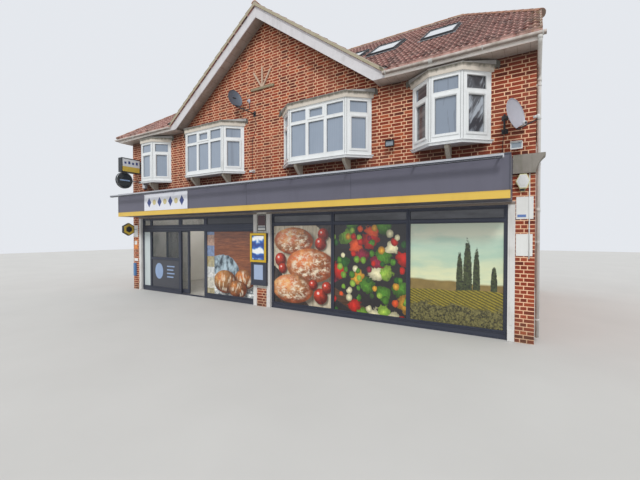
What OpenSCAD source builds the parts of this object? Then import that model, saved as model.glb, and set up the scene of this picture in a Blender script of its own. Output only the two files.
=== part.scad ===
// Two-storey corner shop with flats over it, in brick under a tiled roof.
// X runs along the street front, Y runs back into the building and Z is up.
// The origin is on the ground, at the middle of the building.

/* [Building] */
// Width of the brickwork along the street
body_w = 12600; // [12200:50:13600]
// Depth of the brickwork from front to back
body_d = 7500; // [7000:50:8500]
// Thickness of the outer brick walls
wall_t = 225; // [200:5:250]
// Thickness of the ground floor slab
slab_t = 40; // [30:5:60]
// Height of the first floor's boards above the ground
first_floor_z = 2950; // [2900:10:3050]
// Thickness of the first and loft floors with their ceilings
floor_t = 200; // [150:10:220]
// Height of the loft floor's boards above the ground
loft_floor_z = 5480; // [5420:10:5560]

/* [Roof] */
// Pitch of the main roof and of the street gable, in degrees
roof_pitch = 36; // [34:0.5:38]
// Height of the tiles' top at the eaves
eave_z = 5450; // [5400:10:5600]
// How far the tiles reach past the front and rear walls
eave_over = 420; // [400:5:460]
// How far the tiles reach past the right wall
verge_over = 80; // [50:5:120]
// How far the tiles reach past the left wall
left_over = 250; // [220:5:300]
// Thickness of the roof deck with its tiles, square to the slope
roof_t = 50; // [45:1:55]
// Height where the half-hip starts at the right end
hip_z = 6550; // [6400:10:6800]
// How far the half-hip runs in from the right end of the roof
hip_run = 1930; // [1700:10:2200]
// How far the left hip runs in from the left end of the roof
left_hip_run = 4500; // [4300:10:4600]
// Half the width of the street gable at the height of the eaves
gable_half = 3580; // [3450:10:3640]
// Radius of the ridge and hip tiles
ridge_r = 90; // [80:5:120]
// Seat left between faces that lie along a slope
seat = 0.4; // [0.2:0.1:1]

/* [Roof windows] */
// Width of the two large roof windows
skylight_w = 780; // [660:10:860]
// Length of the large roof windows down the slope
skylight_l = 1150; // [980:10:1300]
// Width of the small roof window beside the gable
small_skylight_w = 460; // [400:10:520]
// Length of the small roof window down the slope
small_skylight_l = 780; // [700:10:860]
// Distance of the roof windows' top edge from the eave edge, up the slope
skylight_top = 3350; // [3250:10:3500]
// Distance of the small roof window from the foot of its stretch of valley
valley_gap = 140; // [100:10:200]
// Gap between the small and the inner large roof window
skylight_gap = 300; // [200:10:400]
// Distance between the centres of the two large roof windows
skylight_step = 1450; // [1300:10:1550]
// How far the roof windows stand above the tiles
skylight_rise = 70; // [40:5:100]
// Width of the roof windows' frame
skylight_frame = 50; // [40:5:80]

/* [Eaves] */
// Height of the soffit above the ground
soffit_z = 5290; // [5270:5:5300]
// Thickness of the eaves boards and the bargeboards
board_t = 25; // [18:1:30]
// Thickness of the soffit boards
soffit_t = 12; // [9:1:18]
// How far the tiles reach past the eaves boards
tile_drip = 45; // [30:5:60]
// Depth of the bargeboards, square to their slope
barge_depth = 234; // [210:2:240]
// How far the gable's soffit lies above the bargeboards' lower edge
gable_soffit_rise = 90; // [60:5:120]
// Outer radius of the half-round gutters
gutter_r = 56; // [50:1:62]
// Thickness of the gutters
gutter_t = 4; // [3:0.5:6]
// Radius of the round downpipes
pipe_r = 34; // [30:1:40]
// Gap between the downpipes and the wall
pipe_gap = 12; // [8:1:25]

/* [Bay windows] */
// Distance of the small bays' centres from the corners
small_bay_in = 1480; // [1450:10:1540]
// Distance of the left large bay's centre from the left corner
left_bay_in = 4290; // [4250:10:4350]
// Distance of the right large bay's centre from the right corner
right_bay_in = 4410; // [4300:10:4450]
// Width of the large bays at the wall
large_bay_w = 2480; // [2300:20:2600]
// Width of the small bays at the wall
small_bay_w = 1500; // [1400:20:1600]
// How far the bays stand out from the wall
bay_out = 400; // [320:10:460]
// How much narrower each side of a bay is at its front
bay_splay = 450; // [360:10:520]
// Height of the bay windows' lower edge above the ground
bay_z = 3800; // [3780:10:3850]
// Height of the bay windows
bay_h = 1265; // [1200:5:1300]
// Depth of the bay windows' frames
bay_frame_t = 70; // [60:5:90]
// Width of the bay windows' posts and rails
bay_rail = 60; // [50:5:80]
// Height of the bays' head boards
bay_head_h = 130; // [110:5:150]
// How far the head boards stand out past the frames
bay_lip = 28; // [20:2:50]
// How far the sills stand out past the frames
sill_lip = 18; // [10:2:40]
// Width of the opening casements' sashes inside the frames
bay_sash = 32; // [20:2:45]
// Thickness of the bays' floor and sill
bay_sill_t = 50; // [40:5:90]
// Height of the panes over the transom
bay_top_pane = 270; // [220:10:320]
// Rise of the lead roofs over the bays
bay_roof_rise = 80; // [50:5:85]
// Width of the timber brackets under the bays
bracket_w = 80; // [60:5:110]
// How far the brackets reach out under the bays
bracket_out = 290; // [240:10:310]
// Height of the brackets under the bays
bracket_h = 330; // [280:10:350]

/* [Shop fronts] */
// Width of the brick pier at the left corner
left_pier_w = 370; // [340:5:420]
// Width of the brick pier between the shop fronts
middle_pier_w = 356; // [330:5:420]
// Centre of the pier between the shop fronts
middle_pier_x = -122; // [-160:2:-80]
// Width of the brick pier at the right corner
right_pier_w = 310; // [300:5:360]
// Height of the shop fronts' heads above the ground
shop_head_z = 2607; // [2580:1:2640]
// Width of the white timber posts beside the shop fronts
shop_post_w = 120; // [90:5:140]
// Depth of the white timber posts
shop_post_t = 110; // [90:5:130]
// Height of the white head boards over the shop fronts
shop_head_h = 50; // [40:5:70]
// How far the shop frames lie behind the wall's face
shop_recess = 60; // [40:5:80]
// Depth of the shop frames
shop_frame_t = 60; // [50:5:70]
// Width of the shop frames' bars
shop_bar = 50; // [40:5:60]
// Height of the shop frames' bottom rail
shop_base_h = 145; // [120:5:180]
// Height of the left shop's transom, lower edge
left_transom_z = 2100; // [2080:10:2140]
// Depth of the left shop's transom
left_transom_h = 190; // [150:5:200]
// Height of the right shop's transom, lower edge
right_transom_z = 2245; // [2220:5:2280]
// Height of the panel under the left window
stall_panel_z = 1160; // [1000:10:1250]
// Thickness of the shops' glass
glass_t = 12; // [8:1:16]

/* [Entrance] */
// Distance of the doorway's left edge from the left corner
doorway_in = 2630; // [2600:10:2660]
// Width of the doorway
doorway_w = 1130; // [1060:10:1150]
// Thickness of the sliding door's leaf
door_t = 45; // [40:1:50]
// Width of the sliding door's leaf
door_w = 1210; // [1180:5:1240]
// Width of the sliding door's stiles and rails
door_rail = 60; // [50:5:70]
// How far the leaf stands in the doorway as it is drawn
door_show = 330; // [250:10:400]
// How far the closed leaf laps over each side of the doorway
door_over = 40; // [30:5:50]
// Clearance round the sliding door
door_gap = 8; // [6:1:12]
// Radius of the door's hanger wheels
wheel_r = 25; // [20:1:28]
// Width of the door's hanger wheels
wheel_w = 34; // [26:1:36]
// Thickness of the door's hangers
hanger_t = 10; // [6:1:12]
// Height of the door's track box
track_h = 110; // [100:5:140]
// Thickness of the track box's sides
track_t = 8; // [6:1:9]

/* [Sign fascia] */
// Distance of the fascia's left end from the left corner
fascia_left_in = 300; // [250:5:350]
// Distance of the fascia's right end from the right corner
fascia_right_in = 360; // [355:5:420]
// How far the sign fascia stands out from the wall
fascia_out = 700; // [650:10:800]
// Height of the sign fascia
fascia_h = 770; // [720:10:790]
// Thickness of the sign fascia's sheets
fascia_t = 30; // [20:1:40]
// Height of the yellow band along the foot of the fascia
band_h = 140; // [110:5:160]
// Thickness of the yellow band and of the sign panel
band_t = 12; // [8:1:20]
// Distance of the white sign panel from the fascia's left end
panel_in = 1540; // [1450:10:1600]
// Width of the white sign panel
panel_w = 2130; // [2000:10:2200]
// Height of the white sign panel
panel_h = 520; // [480:5:530]
// How far the trough light stands out from the fascia
light_out = 180; // [150:5:220]
// Size of the trough light's square housing
light_s = 60; // [40:5:70]
// How far the trough light hangs below the fascia's top
light_drop = 55; // [50:5:70]
// How far the trough light is shifted to the left of the fascia
light_shift = 90; // [60:5:120]

/* [Rear] */
// Width of the rear windows
rear_window_w = 1500; // [1200:20:1600]
// Height of the upper rear windows
rear_window_h = 1200; // [1050:10:1250]
// Height of the lower rear windows
rear_low_h = 1100; // [900:10:1150]
// Height of the lower rear windows' sills
rear_low_z = 1000; // [900:10:1050]
// Centre of the lower rear windows from the middle
rear_low_x = 4300; // [4000:20:4600]
// Width of the rear doors
rear_door_w = 900; // [850:10:1000]
// Height of the rear doors over the slab
rear_door_h = 2030; // [1980:10:2100]
// Centre of the rear doors from the middle
rear_door_x = 1200; // [1000:20:1600]

/* [Fixtures] */
// Mean diameter of the two satellite dishes
dish_d = 500; // [400:10:600]
// Distance of the pale dish from the right corner
dish_in = 310; // [150:10:400]
// Height of the pale dish above the ground
dish_z = 4130; // [4000:10:4400]
// How far the box sign at the left corner reaches out
box_sign_w = 660; // [600:10:800]
// Height of the box sign
box_sign_h = 490; // [420:10:550]
// Thickness of the box sign
box_sign_t = 220; // [150:10:240]
// Height of the box sign's lower edge above the ground
box_sign_z = 4150; // [4050:10:4300]
// Distance of the box sign's face from the left corner
box_sign_in = 550; // [520:10:600]
// Diameter of the round sign under the box sign
round_sign_d = 560; // [450:10:600]
// Thickness of the round sign
round_sign_t = 90; // [60:5:120]
// Width of the small hexagonal sign over its corners
hex_sign_d = 460; // [400:10:520]
// Height of the hexagonal sign's middle above the ground
hex_sign_z = 2175; // [2100:5:2250]
// Width of the alarm sounder
alarm_w = 230; // [200:5:280]
// Height of the alarm sounder
alarm_h = 260; // [220:5:300]
// Thickness of the alarm sounder
alarm_t = 80; // [60:5:100]
// Height of the alarm sounder's middle above the ground
alarm_z = 2960; // [2900:5:2980]
// Width of the floodlights
flood_w = 180; // [140:5:220]
// Distance of the right floodlight from the right corner
flood_in = 300; // [280:5:400]
// Distance of the other floodlight from the middle of the right large bay
flood_from_bay = 1720; // [1600:10:1850]
// Width of the framed case on the middle pier
case_w = 570; // [500:10:600]
// Height of the framed case on the middle pier
case_h = 800; // [700:10:820]
// Height of the framed case's top above the ground
case_z = 2030; // [1950:10:2080]
// Height of the dark notice box under the case
low_case_h = 640; // [560:10:700]
// Thickness of the cases on the middle pier
case_t = 90; // [70:5:110]
// Width of the sunburst in the gable
sunburst_w = 810; // [700:10:900]
// Height of the sunburst's bar above the ground
sunburst_z = 6000; // [5900:10:6100]

/* [Hidden] */

half_w = body_w / 2;
half_d = body_d / 2;
front_y = -half_d;
in_x = half_w - wall_t;
in_y = half_d - wall_t;
slope = tan(roof_pitch);
roof_v = roof_t / cos(roof_pitch);
edge_y = half_d + eave_over;
right_x = half_w + verge_over;
left_x = -half_w - left_over;
ridge_z = eave_z + edge_y * slope;
hip_slope = (ridge_z - hip_z) / hip_run;
hip_v = roof_t * sqrt(1 + hip_slope * hip_slope);
ridge_right = right_x - hip_run;
left_slope = (ridge_z - eave_z) / left_hip_run;
left_v = roof_t * sqrt(1 + left_slope * left_slope);
ridge_left = left_x + left_hip_run;
gable_z = eave_z + gable_half * slope;
wall_top_z = roof_top_at(half_d) - roof_v - seat;
left_wall_z = eave_z + left_over * left_slope - left_v - seat;
hip_wall_z = hip_z + verge_over * hip_slope - hip_v - seat;
hip_wall_y = (ridge_z - roof_v - seat - hip_wall_z) / slope;
verge_y = front_y - eave_over;
board_y = verge_y + tile_drip;
board_x = left_x + tile_drip;
barge_v = barge_depth / cos(roof_pitch);
barge_z = gable_z - roof_v - barge_v;
barge_foot = (barge_z - soffit_z) / slope;
gutter_z = eave_z - roof_v - 5;
frame_y = front_y + shop_recess;
door_y = frame_y + shop_frame_t + door_gap;
door_z = slab_t + door_gap;
door_h = left_transom_z + shop_bar - door_z;
doorway_x = -half_w + doorway_in;
left_open = [-half_w + left_pier_w, middle_pier_x - middle_pier_w / 2];
right_open = [middle_pier_x + middle_pier_w / 2, half_w - right_pier_w];
fascia_left = -half_w + fascia_left_in;
fascia_right = half_w - fascia_right_in;
fascia_y = front_y - fascia_out;
fascia_top = shop_head_z + fascia_h;
bays = [[-half_w + small_bay_in, small_bay_w, 1], [-half_w + left_bay_in, large_bay_w, 3],
    [half_w - right_bay_in, large_bay_w, 3], [half_w - small_bay_in, small_bay_w, 1]];
valley_x = gable_half - (skylight_top - small_skylight_l) * cos(roof_pitch);
small_skylight_x = valley_x + valley_gap + small_skylight_w / 2;
inner_skylight_x = small_skylight_x + (small_skylight_w + skylight_w) / 2 + skylight_gap;
sunburst_x = middle_pier_x + 50;
big = 4 * body_w;

// Height of the main roof's tiles at a distance from the ridge line
function roof_top_at(y) = ridge_z - abs(y) * slope;
// Plan outline of a bay, as wall-left, front-left, front-right and wall-right
function bay_plan(w, grow) = let (a = atan2(bay_out, bay_splay))
    [[-w / 2 - grow / sin(a), 0], [-w / 2 + bay_splay - grow * tan(a / 2), -bay_out - grow],
     [w / 2 - bay_splay + grow * tan(a / 2), -bay_out - grow], [w / 2 + grow / sin(a), 0]];

// A box from its low corner to its high corner
module box(low, high) {
    translate(low) cube([high[0] - low[0], high[1] - low[1], high[2] - low[2]]);
}

// A profile drawn in Y and Z, drawn out along X between two places
module along_x(x0, x1) {
    translate([x0, 0, 0]) rotate([90, 0, 90]) linear_extrude(x1 - x0) children();
}

// A profile drawn in X and Z, drawn out along Y between two places
module along_y(y0, y1) {
    translate([0, y1, 0]) rotate([90, 0, 0]) linear_extrude(y1 - y0) children();
}

// The space under the main roof's two slopes, lowered by drop
module under_slopes(drop) {
    along_x(-big, big) polygon([[-big, ridge_z - big * slope - drop], [0, ridge_z - drop],
        [big, ridge_z - big * slope - drop]]);
}

// The space under the slopes of the left hip and the right half-hip, lowered by drop
module under_hips(left_drop, right_drop) {
    along_y(-big, big) polygon([[left_x - 1000, 0],
        [left_x - 1000, eave_z - 1000 * left_slope - left_drop], [ridge_left, ridge_z - left_drop],
        [ridge_left, ridge_z + 1000], [ridge_right, ridge_z + 1000],
        [ridge_right, ridge_z - right_drop], [right_x, hip_z - right_drop], [right_x, 0]]);
}

// The space under the street gable's two slopes, lowered by drop
module under_gable(drop) {
    along_y(-big, 0) polygon([[-gable_half, eave_z - big / 9 - drop], [-gable_half, eave_z - drop],
        [0, gable_z - drop], [gable_half, eave_z - drop], [gable_half, eave_z - big / 9 - drop]]);
}

// One slope of the main roof as a plain slab: side -1 is the street side
module main_slab(side) {
    along_x(left_x, right_x) scale([side, 1]) polygon([[0, ridge_z], [0, ridge_z - roof_v],
        [edge_y, eave_z - roof_v], [edge_y, eave_z]]);
}

// Turns and lifts what is drawn in a slope's own plane onto the street slope
module on_front_slope(x, up) {
    translate([x, -edge_y, eave_z]) rotate([roof_pitch, 0, 0]) translate([0, up, 0]) children();
}

// Places children at every roof window: width and length are set as $-values
module each_skylight() {
    for (k = [[inner_skylight_x + skylight_step, skylight_w, skylight_l],
            [inner_skylight_x, skylight_w, skylight_l],
            [small_skylight_x, small_skylight_w, small_skylight_l]]) {
        $sky_w = k[1];
        $sky_l = k[2];
        on_front_slope(k[0], skylight_top - k[2] / 2) children();
    }
}

module ground_floor() {
    color("#9a9a96") difference() {
        box([-in_x, frame_y + shop_frame_t, 0], [in_x, in_y, slab_t]);
        shop_piers(1);
    }
}

module first_floor() {
    color("#b8b0a0") box([-in_x, -in_y, first_floor_z - floor_t], [in_x, in_y, first_floor_z]);
}

module loft_floor() {
    color("#b8b0a0") box([-in_x, -in_y, loft_floor_z - floor_t], [in_x, in_y, loft_floor_z]);
}

// The left wall ends level under the foot of the hip
module left_wall() {
    color("#a85a3c") box([-half_w, -half_d, 0], [-in_x, half_d, left_wall_z]);
}

// The right wall rises under the slopes to the half-hip
module right_wall() {
    color("#a85a3c") along_x(in_x, half_w)
        polygon([[-half_d, 0], [-half_d, wall_top_z], [-hip_wall_y, hip_wall_z],
            [hip_wall_y, hip_wall_z], [half_d, wall_top_z], [half_d, 0]]);
}

// The openings in the rear wall, as x, z, width and height
function rear_openings() = concat(
    [for (b = bays) [b[0], bay_z, rear_window_w, rear_window_h]],
    [for (s = [-1, 1]) [s * rear_low_x, rear_low_z, rear_window_w, rear_low_h]],
    [for (s = [-1, 1]) [s * rear_door_x, slab_t, rear_door_w, rear_door_h]]);

module rear_wall() {
    color("#a85a3c") difference() {
        box([-in_x, in_y, 0], [in_x, half_d, wall_top_z]);
        for (o = rear_openings())
            box([o[0] - o[2] / 2, in_y - 1, o[1]], [o[0] + o[2] / 2, half_d + 1, o[1] + o[3]]);
    }
}

module front_wall() {
    color("#a85a3c") difference() {
        box([-in_x, front_y, shop_head_z], [in_x, -in_y, wall_top_z]);
        for (b = bays) translate([b[0], 0, 0]) {
            w = b[1] / 2 - 2 * bay_rail;
            box([-w, front_y - 1, bay_z + bay_rail], [w, 1 - in_y, bay_z + bay_h - bay_rail]);
        }
    }
}

module gable_wall() {
    color("#a85a3c") intersection() {
        along_y(front_y, -in_y) polygon([[-gable_half, wall_top_z], [0, gable_z + wall_top_z],
            [gable_half, wall_top_z]]);
        under_gable(roof_v + seat);
    }
}

// The brick piers beside and between the shop fronts
module shop_piers(grow = 0) {
    color("#d9d5cc") {
        for (p = [[-in_x, left_open[0]], [left_open[1], right_open[0]], [right_open[1], in_x]])
            box([p[0] - grow, front_y, -grow], [p[1] + grow, -in_y + grow, shop_head_z]);
    }
}

// The flared concrete corbel at the head of the right corner pier
module corbel() {
    flare = 150;
    top_z = fascia_top + 70;
    face = 60;
    tall = 340;
    color("#8f8a7c") difference() {
        union() {
            box([half_w, front_y - face, top_z - tall], [half_w + flare, front_y + wall_t, top_z]);
            box([fascia_right + 5, front_y - face, top_z - tall], [half_w, front_y, top_z]);
        }
        translate([half_w + 410, 0, top_z - tall - 10]) rotate([90, 0, 0])
            cylinder(h = big, r = 405, center = true, $fn = 96);
    }
}

module front_roof() {
    color("#8a5a4c") difference() {
        intersection() {
            main_slab(-1);
            under_hips(0, 0);
        }
        under_gable(0);
        each_skylight() cube([$sky_w, $sky_l, 3 * roof_t], center = true);
    }
}

module rear_roof() {
    color("#8a5a4c") intersection() {
        main_slab(1);
        under_hips(0, 0);
    }
}

// The street gable's two slopes, cut where they meet the main slope
module gable_roof() {
    color("#8a5a4c") difference() {
        intersection() {
            under_gable(0);
            box([-gable_half, verge_y, eave_z - roof_v], [gable_half, 0, ridge_z]);
        }
        under_gable(roof_v);
        intersection() {
            under_slopes(roof_v);
            box([-big, front_y - 1, 0], [big, big, big]);
        }
        difference() {
            box([-big, verge_y + 1, 0], [big, big, eave_z]);
            box([-gable_half, verge_y, 0], [gable_half, front_y, big]);
        }
    }
}

module left_hip() {
    color("#8a5a4c") difference() {
        intersection() {
            under_hips(0, 0);
            under_slopes(roof_v + seat);
            box([left_x, -edge_y, eave_z - left_v], [ridge_left, edge_y, ridge_z]);
        }
        under_hips(left_v, hip_v);
    }
}

module right_half_hip() {
    color("#8a5a4c") difference() {
        intersection() {
            under_hips(0, 0);
            under_slopes(roof_v + seat);
            box([ridge_right, -edge_y, hip_z - hip_v], [right_x, edge_y, ridge_z]);
        }
        under_hips(left_v, hip_v);
    }
}

// A round tile run between two points
module tile_run(a, b) {
    d = b - a;
    run = norm([d[0], d[1]]);
    translate(a) rotate([0, 90 - atan2(d[2], run), atan2(d[1], d[0])])
        cylinder(h = norm(d), r = ridge_r, $fn = 12);
}

// The ridge's round tiles over a line of slopes that falls away on both sides
module ridge_section(top_z) {
    difference() {
        translate([0, top_z - ridge_r / 2]) circle(r = ridge_r, $fn = 12);
        polygon([[-edge_y, top_z + seat - edge_y * slope], [0, top_z + seat],
            [edge_y, top_z + seat - edge_y * slope]]);
    }
}

module ridge_tiles() {
    color("#b0603f") {
        along_x(ridge_left, ridge_right) ridge_section(ridge_z);
        difference() {
            along_y(verge_y, 0) ridge_section(gable_z);
            under_slopes(-seat);
        }
    }
}

module hip_tiles() {
    sink = ridge_r * 0.65;
    hip_y = (ridge_z - hip_z) / slope;
    color("#b0603f") difference() {
        for (t = [-1, 1]) {
            tile_run([right_x, t * hip_y, hip_z - sink], [ridge_right, 0, ridge_z - sink]);
            tile_run([left_x, t * edge_y, eave_z - sink], [ridge_left, 0, ridge_z - sink]);
        }
        intersection() {
            under_slopes(-seat);
            under_hips(-seat, -seat);
        }
        box([ridge_left - seat, -big, 0], [ridge_right + seat, big, big]);
    }
}

module roof_windows() {
    color("#4d4f52") each_skylight() difference() {
        translate([0, 0, (skylight_rise - roof_t) / 2])
            cube([$sky_w, $sky_l, skylight_rise + roof_t], center = true);
        cube([$sky_w - 2 * skylight_frame, $sky_l - 2 * skylight_frame, big], center = true);
    }
}

module roof_window_glass() {
    color("#a9bac0") each_skylight() translate([0, 0, skylight_rise - glass_t])
        cube([$sky_w - 2 * skylight_frame, $sky_l - 2 * skylight_frame, glass_t], center = true);
}

// The white boards behind the gutters, with the ends of the boxed eaves at the right
module eaves_boards() {
    color("#e6e4df") intersection() {
        union() {
            box([gable_half, board_y, soffit_z], [right_x, board_y + board_t, eave_z]);
            box([board_x, board_y, soffit_z], [-gable_half, board_y + board_t, eave_z]);
            box([board_x, -board_y - board_t, soffit_z], [right_x, -board_y, eave_z]);
            box([board_x, board_y, soffit_z], [board_x + board_t, -board_y, eave_z]);
            for (s = [-1, 1]) scale([1, s, 1])
                box([right_x - board_t, half_d, soffit_z], [right_x, -board_y, eave_z + eave_over]);
        }
        under_slopes(roof_v + seat);
        under_hips(left_v + seat, hip_v + seat);
    }
}

// The gable's bargeboards with their boxed feet
module bargeboards() {
    top = roof_v + seat;
    color("#e6e4df") along_y(board_y, board_y + board_t)
        polygon([[-gable_half, soffit_z], [-gable_half, eave_z - top], [0, gable_z - top],
            [gable_half, eave_z - top], [gable_half, soffit_z], [barge_foot, soffit_z],
            [0, barge_z], [-barge_foot, soffit_z]]);
}

// The level soffits under the eaves, up to the feet of the bargeboards
module eaves_soffits() {
    top = soffit_z + soffit_t;
    color("#a59c90") {
        box([barge_foot, board_y + board_t, soffit_z], [right_x - board_t, front_y, top]);
        box([board_x + board_t, board_y + board_t, soffit_z], [-barge_foot, front_y, top]);
        box([board_x + board_t, front_y, soffit_z], [-half_w, half_d, top]);
        box([board_x + board_t, half_d, soffit_z], [right_x - board_t, -board_y - board_t, top]);
    }
}

// The two sloping soffits behind the bargeboards
module gable_soffit() {
    low = barge_z + gable_soffit_rise;
    high = low + soffit_t / cos(roof_pitch);
    z = soffit_z + soffit_t + seat;
    color("#a59c90") along_y(board_y + board_t, front_y)
        polygon([[-(high - z) / slope, z], [0, high], [(high - z) / slope, z],
            [(low - z) / slope, z], [0, low], [-(low - z) / slope, z]]);
}

// Half a gutter's section, from its front lip round to its back, in a gutter's own place
function gutter_arc(r, turn) = [for (k = [0 : 12]) let (a = turn > 0 ? 180 + 15 * k : 360 - 15 * k)
    [r * cos(a), r * sin(a)]];
module gutter_section() {
    polygon(concat(gutter_arc(gutter_r, 1), gutter_arc(gutter_r - gutter_t, -1)));
}

// One gutter along X in front of a board, with its ends closed where asked
module gutter(x0, x1, ends) {
    y = board_y - gutter_r;
    along_x(x0, x1) translate([y, gutter_z]) gutter_section();
    for (x = ends) along_x(x, x + gutter_t) translate([y, gutter_z])
        polygon(gutter_arc(gutter_r, 1));
}

module gutters() {
    x0 = board_x - 2 * gutter_r;
    reach = right_x + gutter_r;
    lap = 20;
    color("#b9b4ab") {
        difference() {
            union() {
                gutter(x0, -gable_half + lap, [-gable_half + lap - gutter_t]);
                mirror([0, 1, 0]) gutter(x0, reach, [reach - gutter_t]);
            }
            mitre();
        }
        gutter(gable_half - lap, reach, [gable_half - lap, reach - gutter_t]);
        intersection() {
            along_y(board_y - 2 * gutter_r, 2 * gutter_r - board_y)
                translate([board_x - gutter_r, gutter_z]) gutter_section();
            mitre();
        }
    }
}

// What lies to the left of the two mitres at the left corners
module mitre() {
    far = half_w;
    translate([board_x, 0, 0]) linear_extrude(2 * eave_z) polygon([[0, board_y],
        [0, -board_y], [-far, far - board_y], [-far, board_y - far]]);
}

// A pipe of twelve sides between two points, short of each by the given length
module pipe_run(a, b, r, short) {
    d = b - a;
    run = norm([d[0], d[1]]);
    translate(a) rotate([0, 90 - atan2(d[2], run), atan2(d[1], d[0])]) translate([0, 0, short])
        rotate(15) cylinder(h = norm(d) - 2 * short, r = r, $fn = 12);
}

// A downpipe down a wall, with its swan neck out to the gutter through two sockets.
// The pipe stands at [x, y], and its outlet is at [out_x, out_y] under the gutter.
module downpipe(x, y, out_x, out_y, wall_x) {
    out_z = gutter_z - gutter_r - seat;
    low = [x, y, soffit_z - 6 * gutter_r];
    high = [out_x, out_y, out_z - 1.5 * gutter_r];
    gap = 0.4 * pipe_r;
    pipe_run([x, y, 2 * pipe_r], low, pipe_r, gap);
    pipe_run(low, high, pipe_r, gap);
    translate([out_x, out_y, high[2] + gap])
        rotate(15) cylinder(h = out_z - high[2] - gap, r = pipe_r, $fn = 12);
    for (p = [low, high]) translate(p) cube(2.4 * pipe_r, center = true);
    for (k = [0 : 3]) translate([(x + wall_x) / 2, y, 400 + k * (low[2] - 600) / 3])
        cube([abs(wall_x - x), pipe_r, 40], center = true);
}

module downpipes() {
    x = half_w + pipe_gap + pipe_r;
    y = half_d - wall_t - 2 * pipe_r;
    color("#dcdad4") {
        for (s = [-1, 1]) downpipe(x, s * y, x, s * (gutter_r - board_y), half_w);
        downpipe(-x, y, board_x - gutter_r, y, -half_w);
    }
}

// Holes for the panes of one flat side of a bay, drawn from its left lower corner.
// The panes named in sash, as [light, row], are smaller by the width of a casement's sash.
module pane_holes(w, lights, side_post, sash) {
    step = (w - 2 * side_post + bay_rail) / lights;
    low_h = bay_h - bay_top_pane - 3 * bay_rail;
    rows = [[1.5 * bay_rail, low_h - bay_rail / 2], [bay_h - bay_rail - bay_top_pane, bay_top_pane]];
    for (k = [0 : lights - 1], r = [0, 1]) {
        in = len([for (p = sash) if (p == [k, r]) 1]) * bay_sash;
        translate([side_post + k * step + in, -bay_frame_t, bay_z + rows[r][0] + in])
            cube([step - bay_rail - 2 * in, 3 * bay_frame_t, rows[r][1] - 2 * in]);
    }
}

// The pane holes of all three sides of a bay, in its own place
module bay_holes(w, lights) {
    a = atan2(bay_out, bay_splay);
    face = norm([bay_out, bay_splay]);
    translate([-w / 2 + bay_splay, -bay_out, 0])
        pane_holes(w - 2 * bay_splay, lights, bay_rail, lights == 3 ? [[1, 1]] : [[0, 0]]);
    for (s = [0, 1]) mirror([s, 0, 0]) translate([-w / 2, 0, 0]) rotate([0, 0, -a])
        pane_holes(face, 1, 1.5 * bay_rail, [[0, 0]]);
}

// The shell of a bay between its outer line and a line inside it
module bay_shell(w, outer, inner) {
    difference() {
        polygon(bay_plan(w, outer));
        polygon(bay_plan(w, inner));
    }
}

module bay_frame(b) {
    color("#f2f3f4") translate([b[0], front_y, 0]) {
        difference() {
            translate([0, 0, bay_z]) linear_extrude(bay_h) bay_shell(b[1], 0, -bay_frame_t);
            bay_holes(b[1], b[2]);
        }
        translate([0, 0, bay_z + bay_h]) linear_extrude(bay_head_h)
            polygon(bay_plan(b[1], bay_lip));
    }
}

module left_small_bay() {
    bay_frame(bays[0]);
}

module left_large_bay() {
    bay_frame(bays[1]);
}

module right_large_bay() {
    bay_frame(bays[2]);
}

module right_small_bay() {
    bay_frame(bays[3]);
}

module bay_glass() {
    color("#9fb0bb") for (b = bays) translate([b[0], front_y, 0]) intersection() {
        translate([0, 0, bay_z]) linear_extrude(bay_h)
            bay_shell(b[1], -bay_frame_t / 2, -bay_frame_t / 2 - glass_t);
        bay_holes(b[1], b[2]);
    }
}

// Low lead roofs over the bays, from the head boards up to the wall
module bay_roofs() {
    z = bay_z + bay_h + bay_head_h;
    color("#b3b0a9") for (b = bays) translate([b[0], front_y, z]) hull() {
        linear_extrude(8) polygon(bay_plan(b[1], bay_lip + 15));
        translate([0, -8, 0]) linear_extrude(bay_roof_rise)
            square([b[1] + 6 * bay_lip, 16], center = true);
    }
}

module bay_sills() {
    color("#e9eaea") for (b = bays) translate([b[0], front_y, bay_z - bay_sill_t])
        linear_extrude(bay_sill_t) polygon(bay_plan(b[1], sill_lip));
}

// Curved timber brackets that carry the bays
module bay_brackets() {
    top = bay_z - bay_sill_t;
    toe = bracket_h / 5;
    color("#cfc3a8") for (b = bays, k = b[2] == 1 ? [0] : [-1, 1])
        translate([b[0] + k * (b[1] / 2 - bay_splay - 1.4 * bracket_w), 0, 0])
            along_x(-bracket_w / 2, bracket_w / 2) difference() {
                polygon([[front_y, top], [front_y - bracket_out, top],
                    [front_y - bracket_out, top - toe], [front_y, top - bracket_h]]);
                translate([front_y - bracket_out, top - bracket_h - toe])
                    circle(r = bracket_out - toe, $fn = 64);
            }
}

// White timber posts and head board round one shop opening
module shop_surround(open) {
    y = front_y - 15;
    for (x = [open[0], open[1] - shop_post_w])
        box([x, y, 0], [x + shop_post_w, y + shop_post_t, shop_head_z - shop_head_h]);
    box([open[0], y, shop_head_z - shop_head_h], [open[1], y + shop_post_t, shop_head_z]);
}

module shop_surrounds() {
    color("#eceae4") {
        shop_surround(left_open);
        shop_surround(right_open);
    }
}

// A flat shop frame of the given outline with its holes, as x, z, width and height
module shop_frame(x0, x1, holes) {
    difference() {
        box([x0, frame_y, 0], [x1, frame_y + shop_frame_t, shop_head_z - shop_head_h]);
        for (h = holes)
            box([h[0], frame_y - 1, h[1]], [h[0] + h[2], frame_y + shop_frame_t + 1, h[1] + h[3]]);
    }
}

// The clear width between the white posts of a shop opening
function clear_width(open) = [open[0] + shop_post_w, open[1] - shop_post_w];
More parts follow.
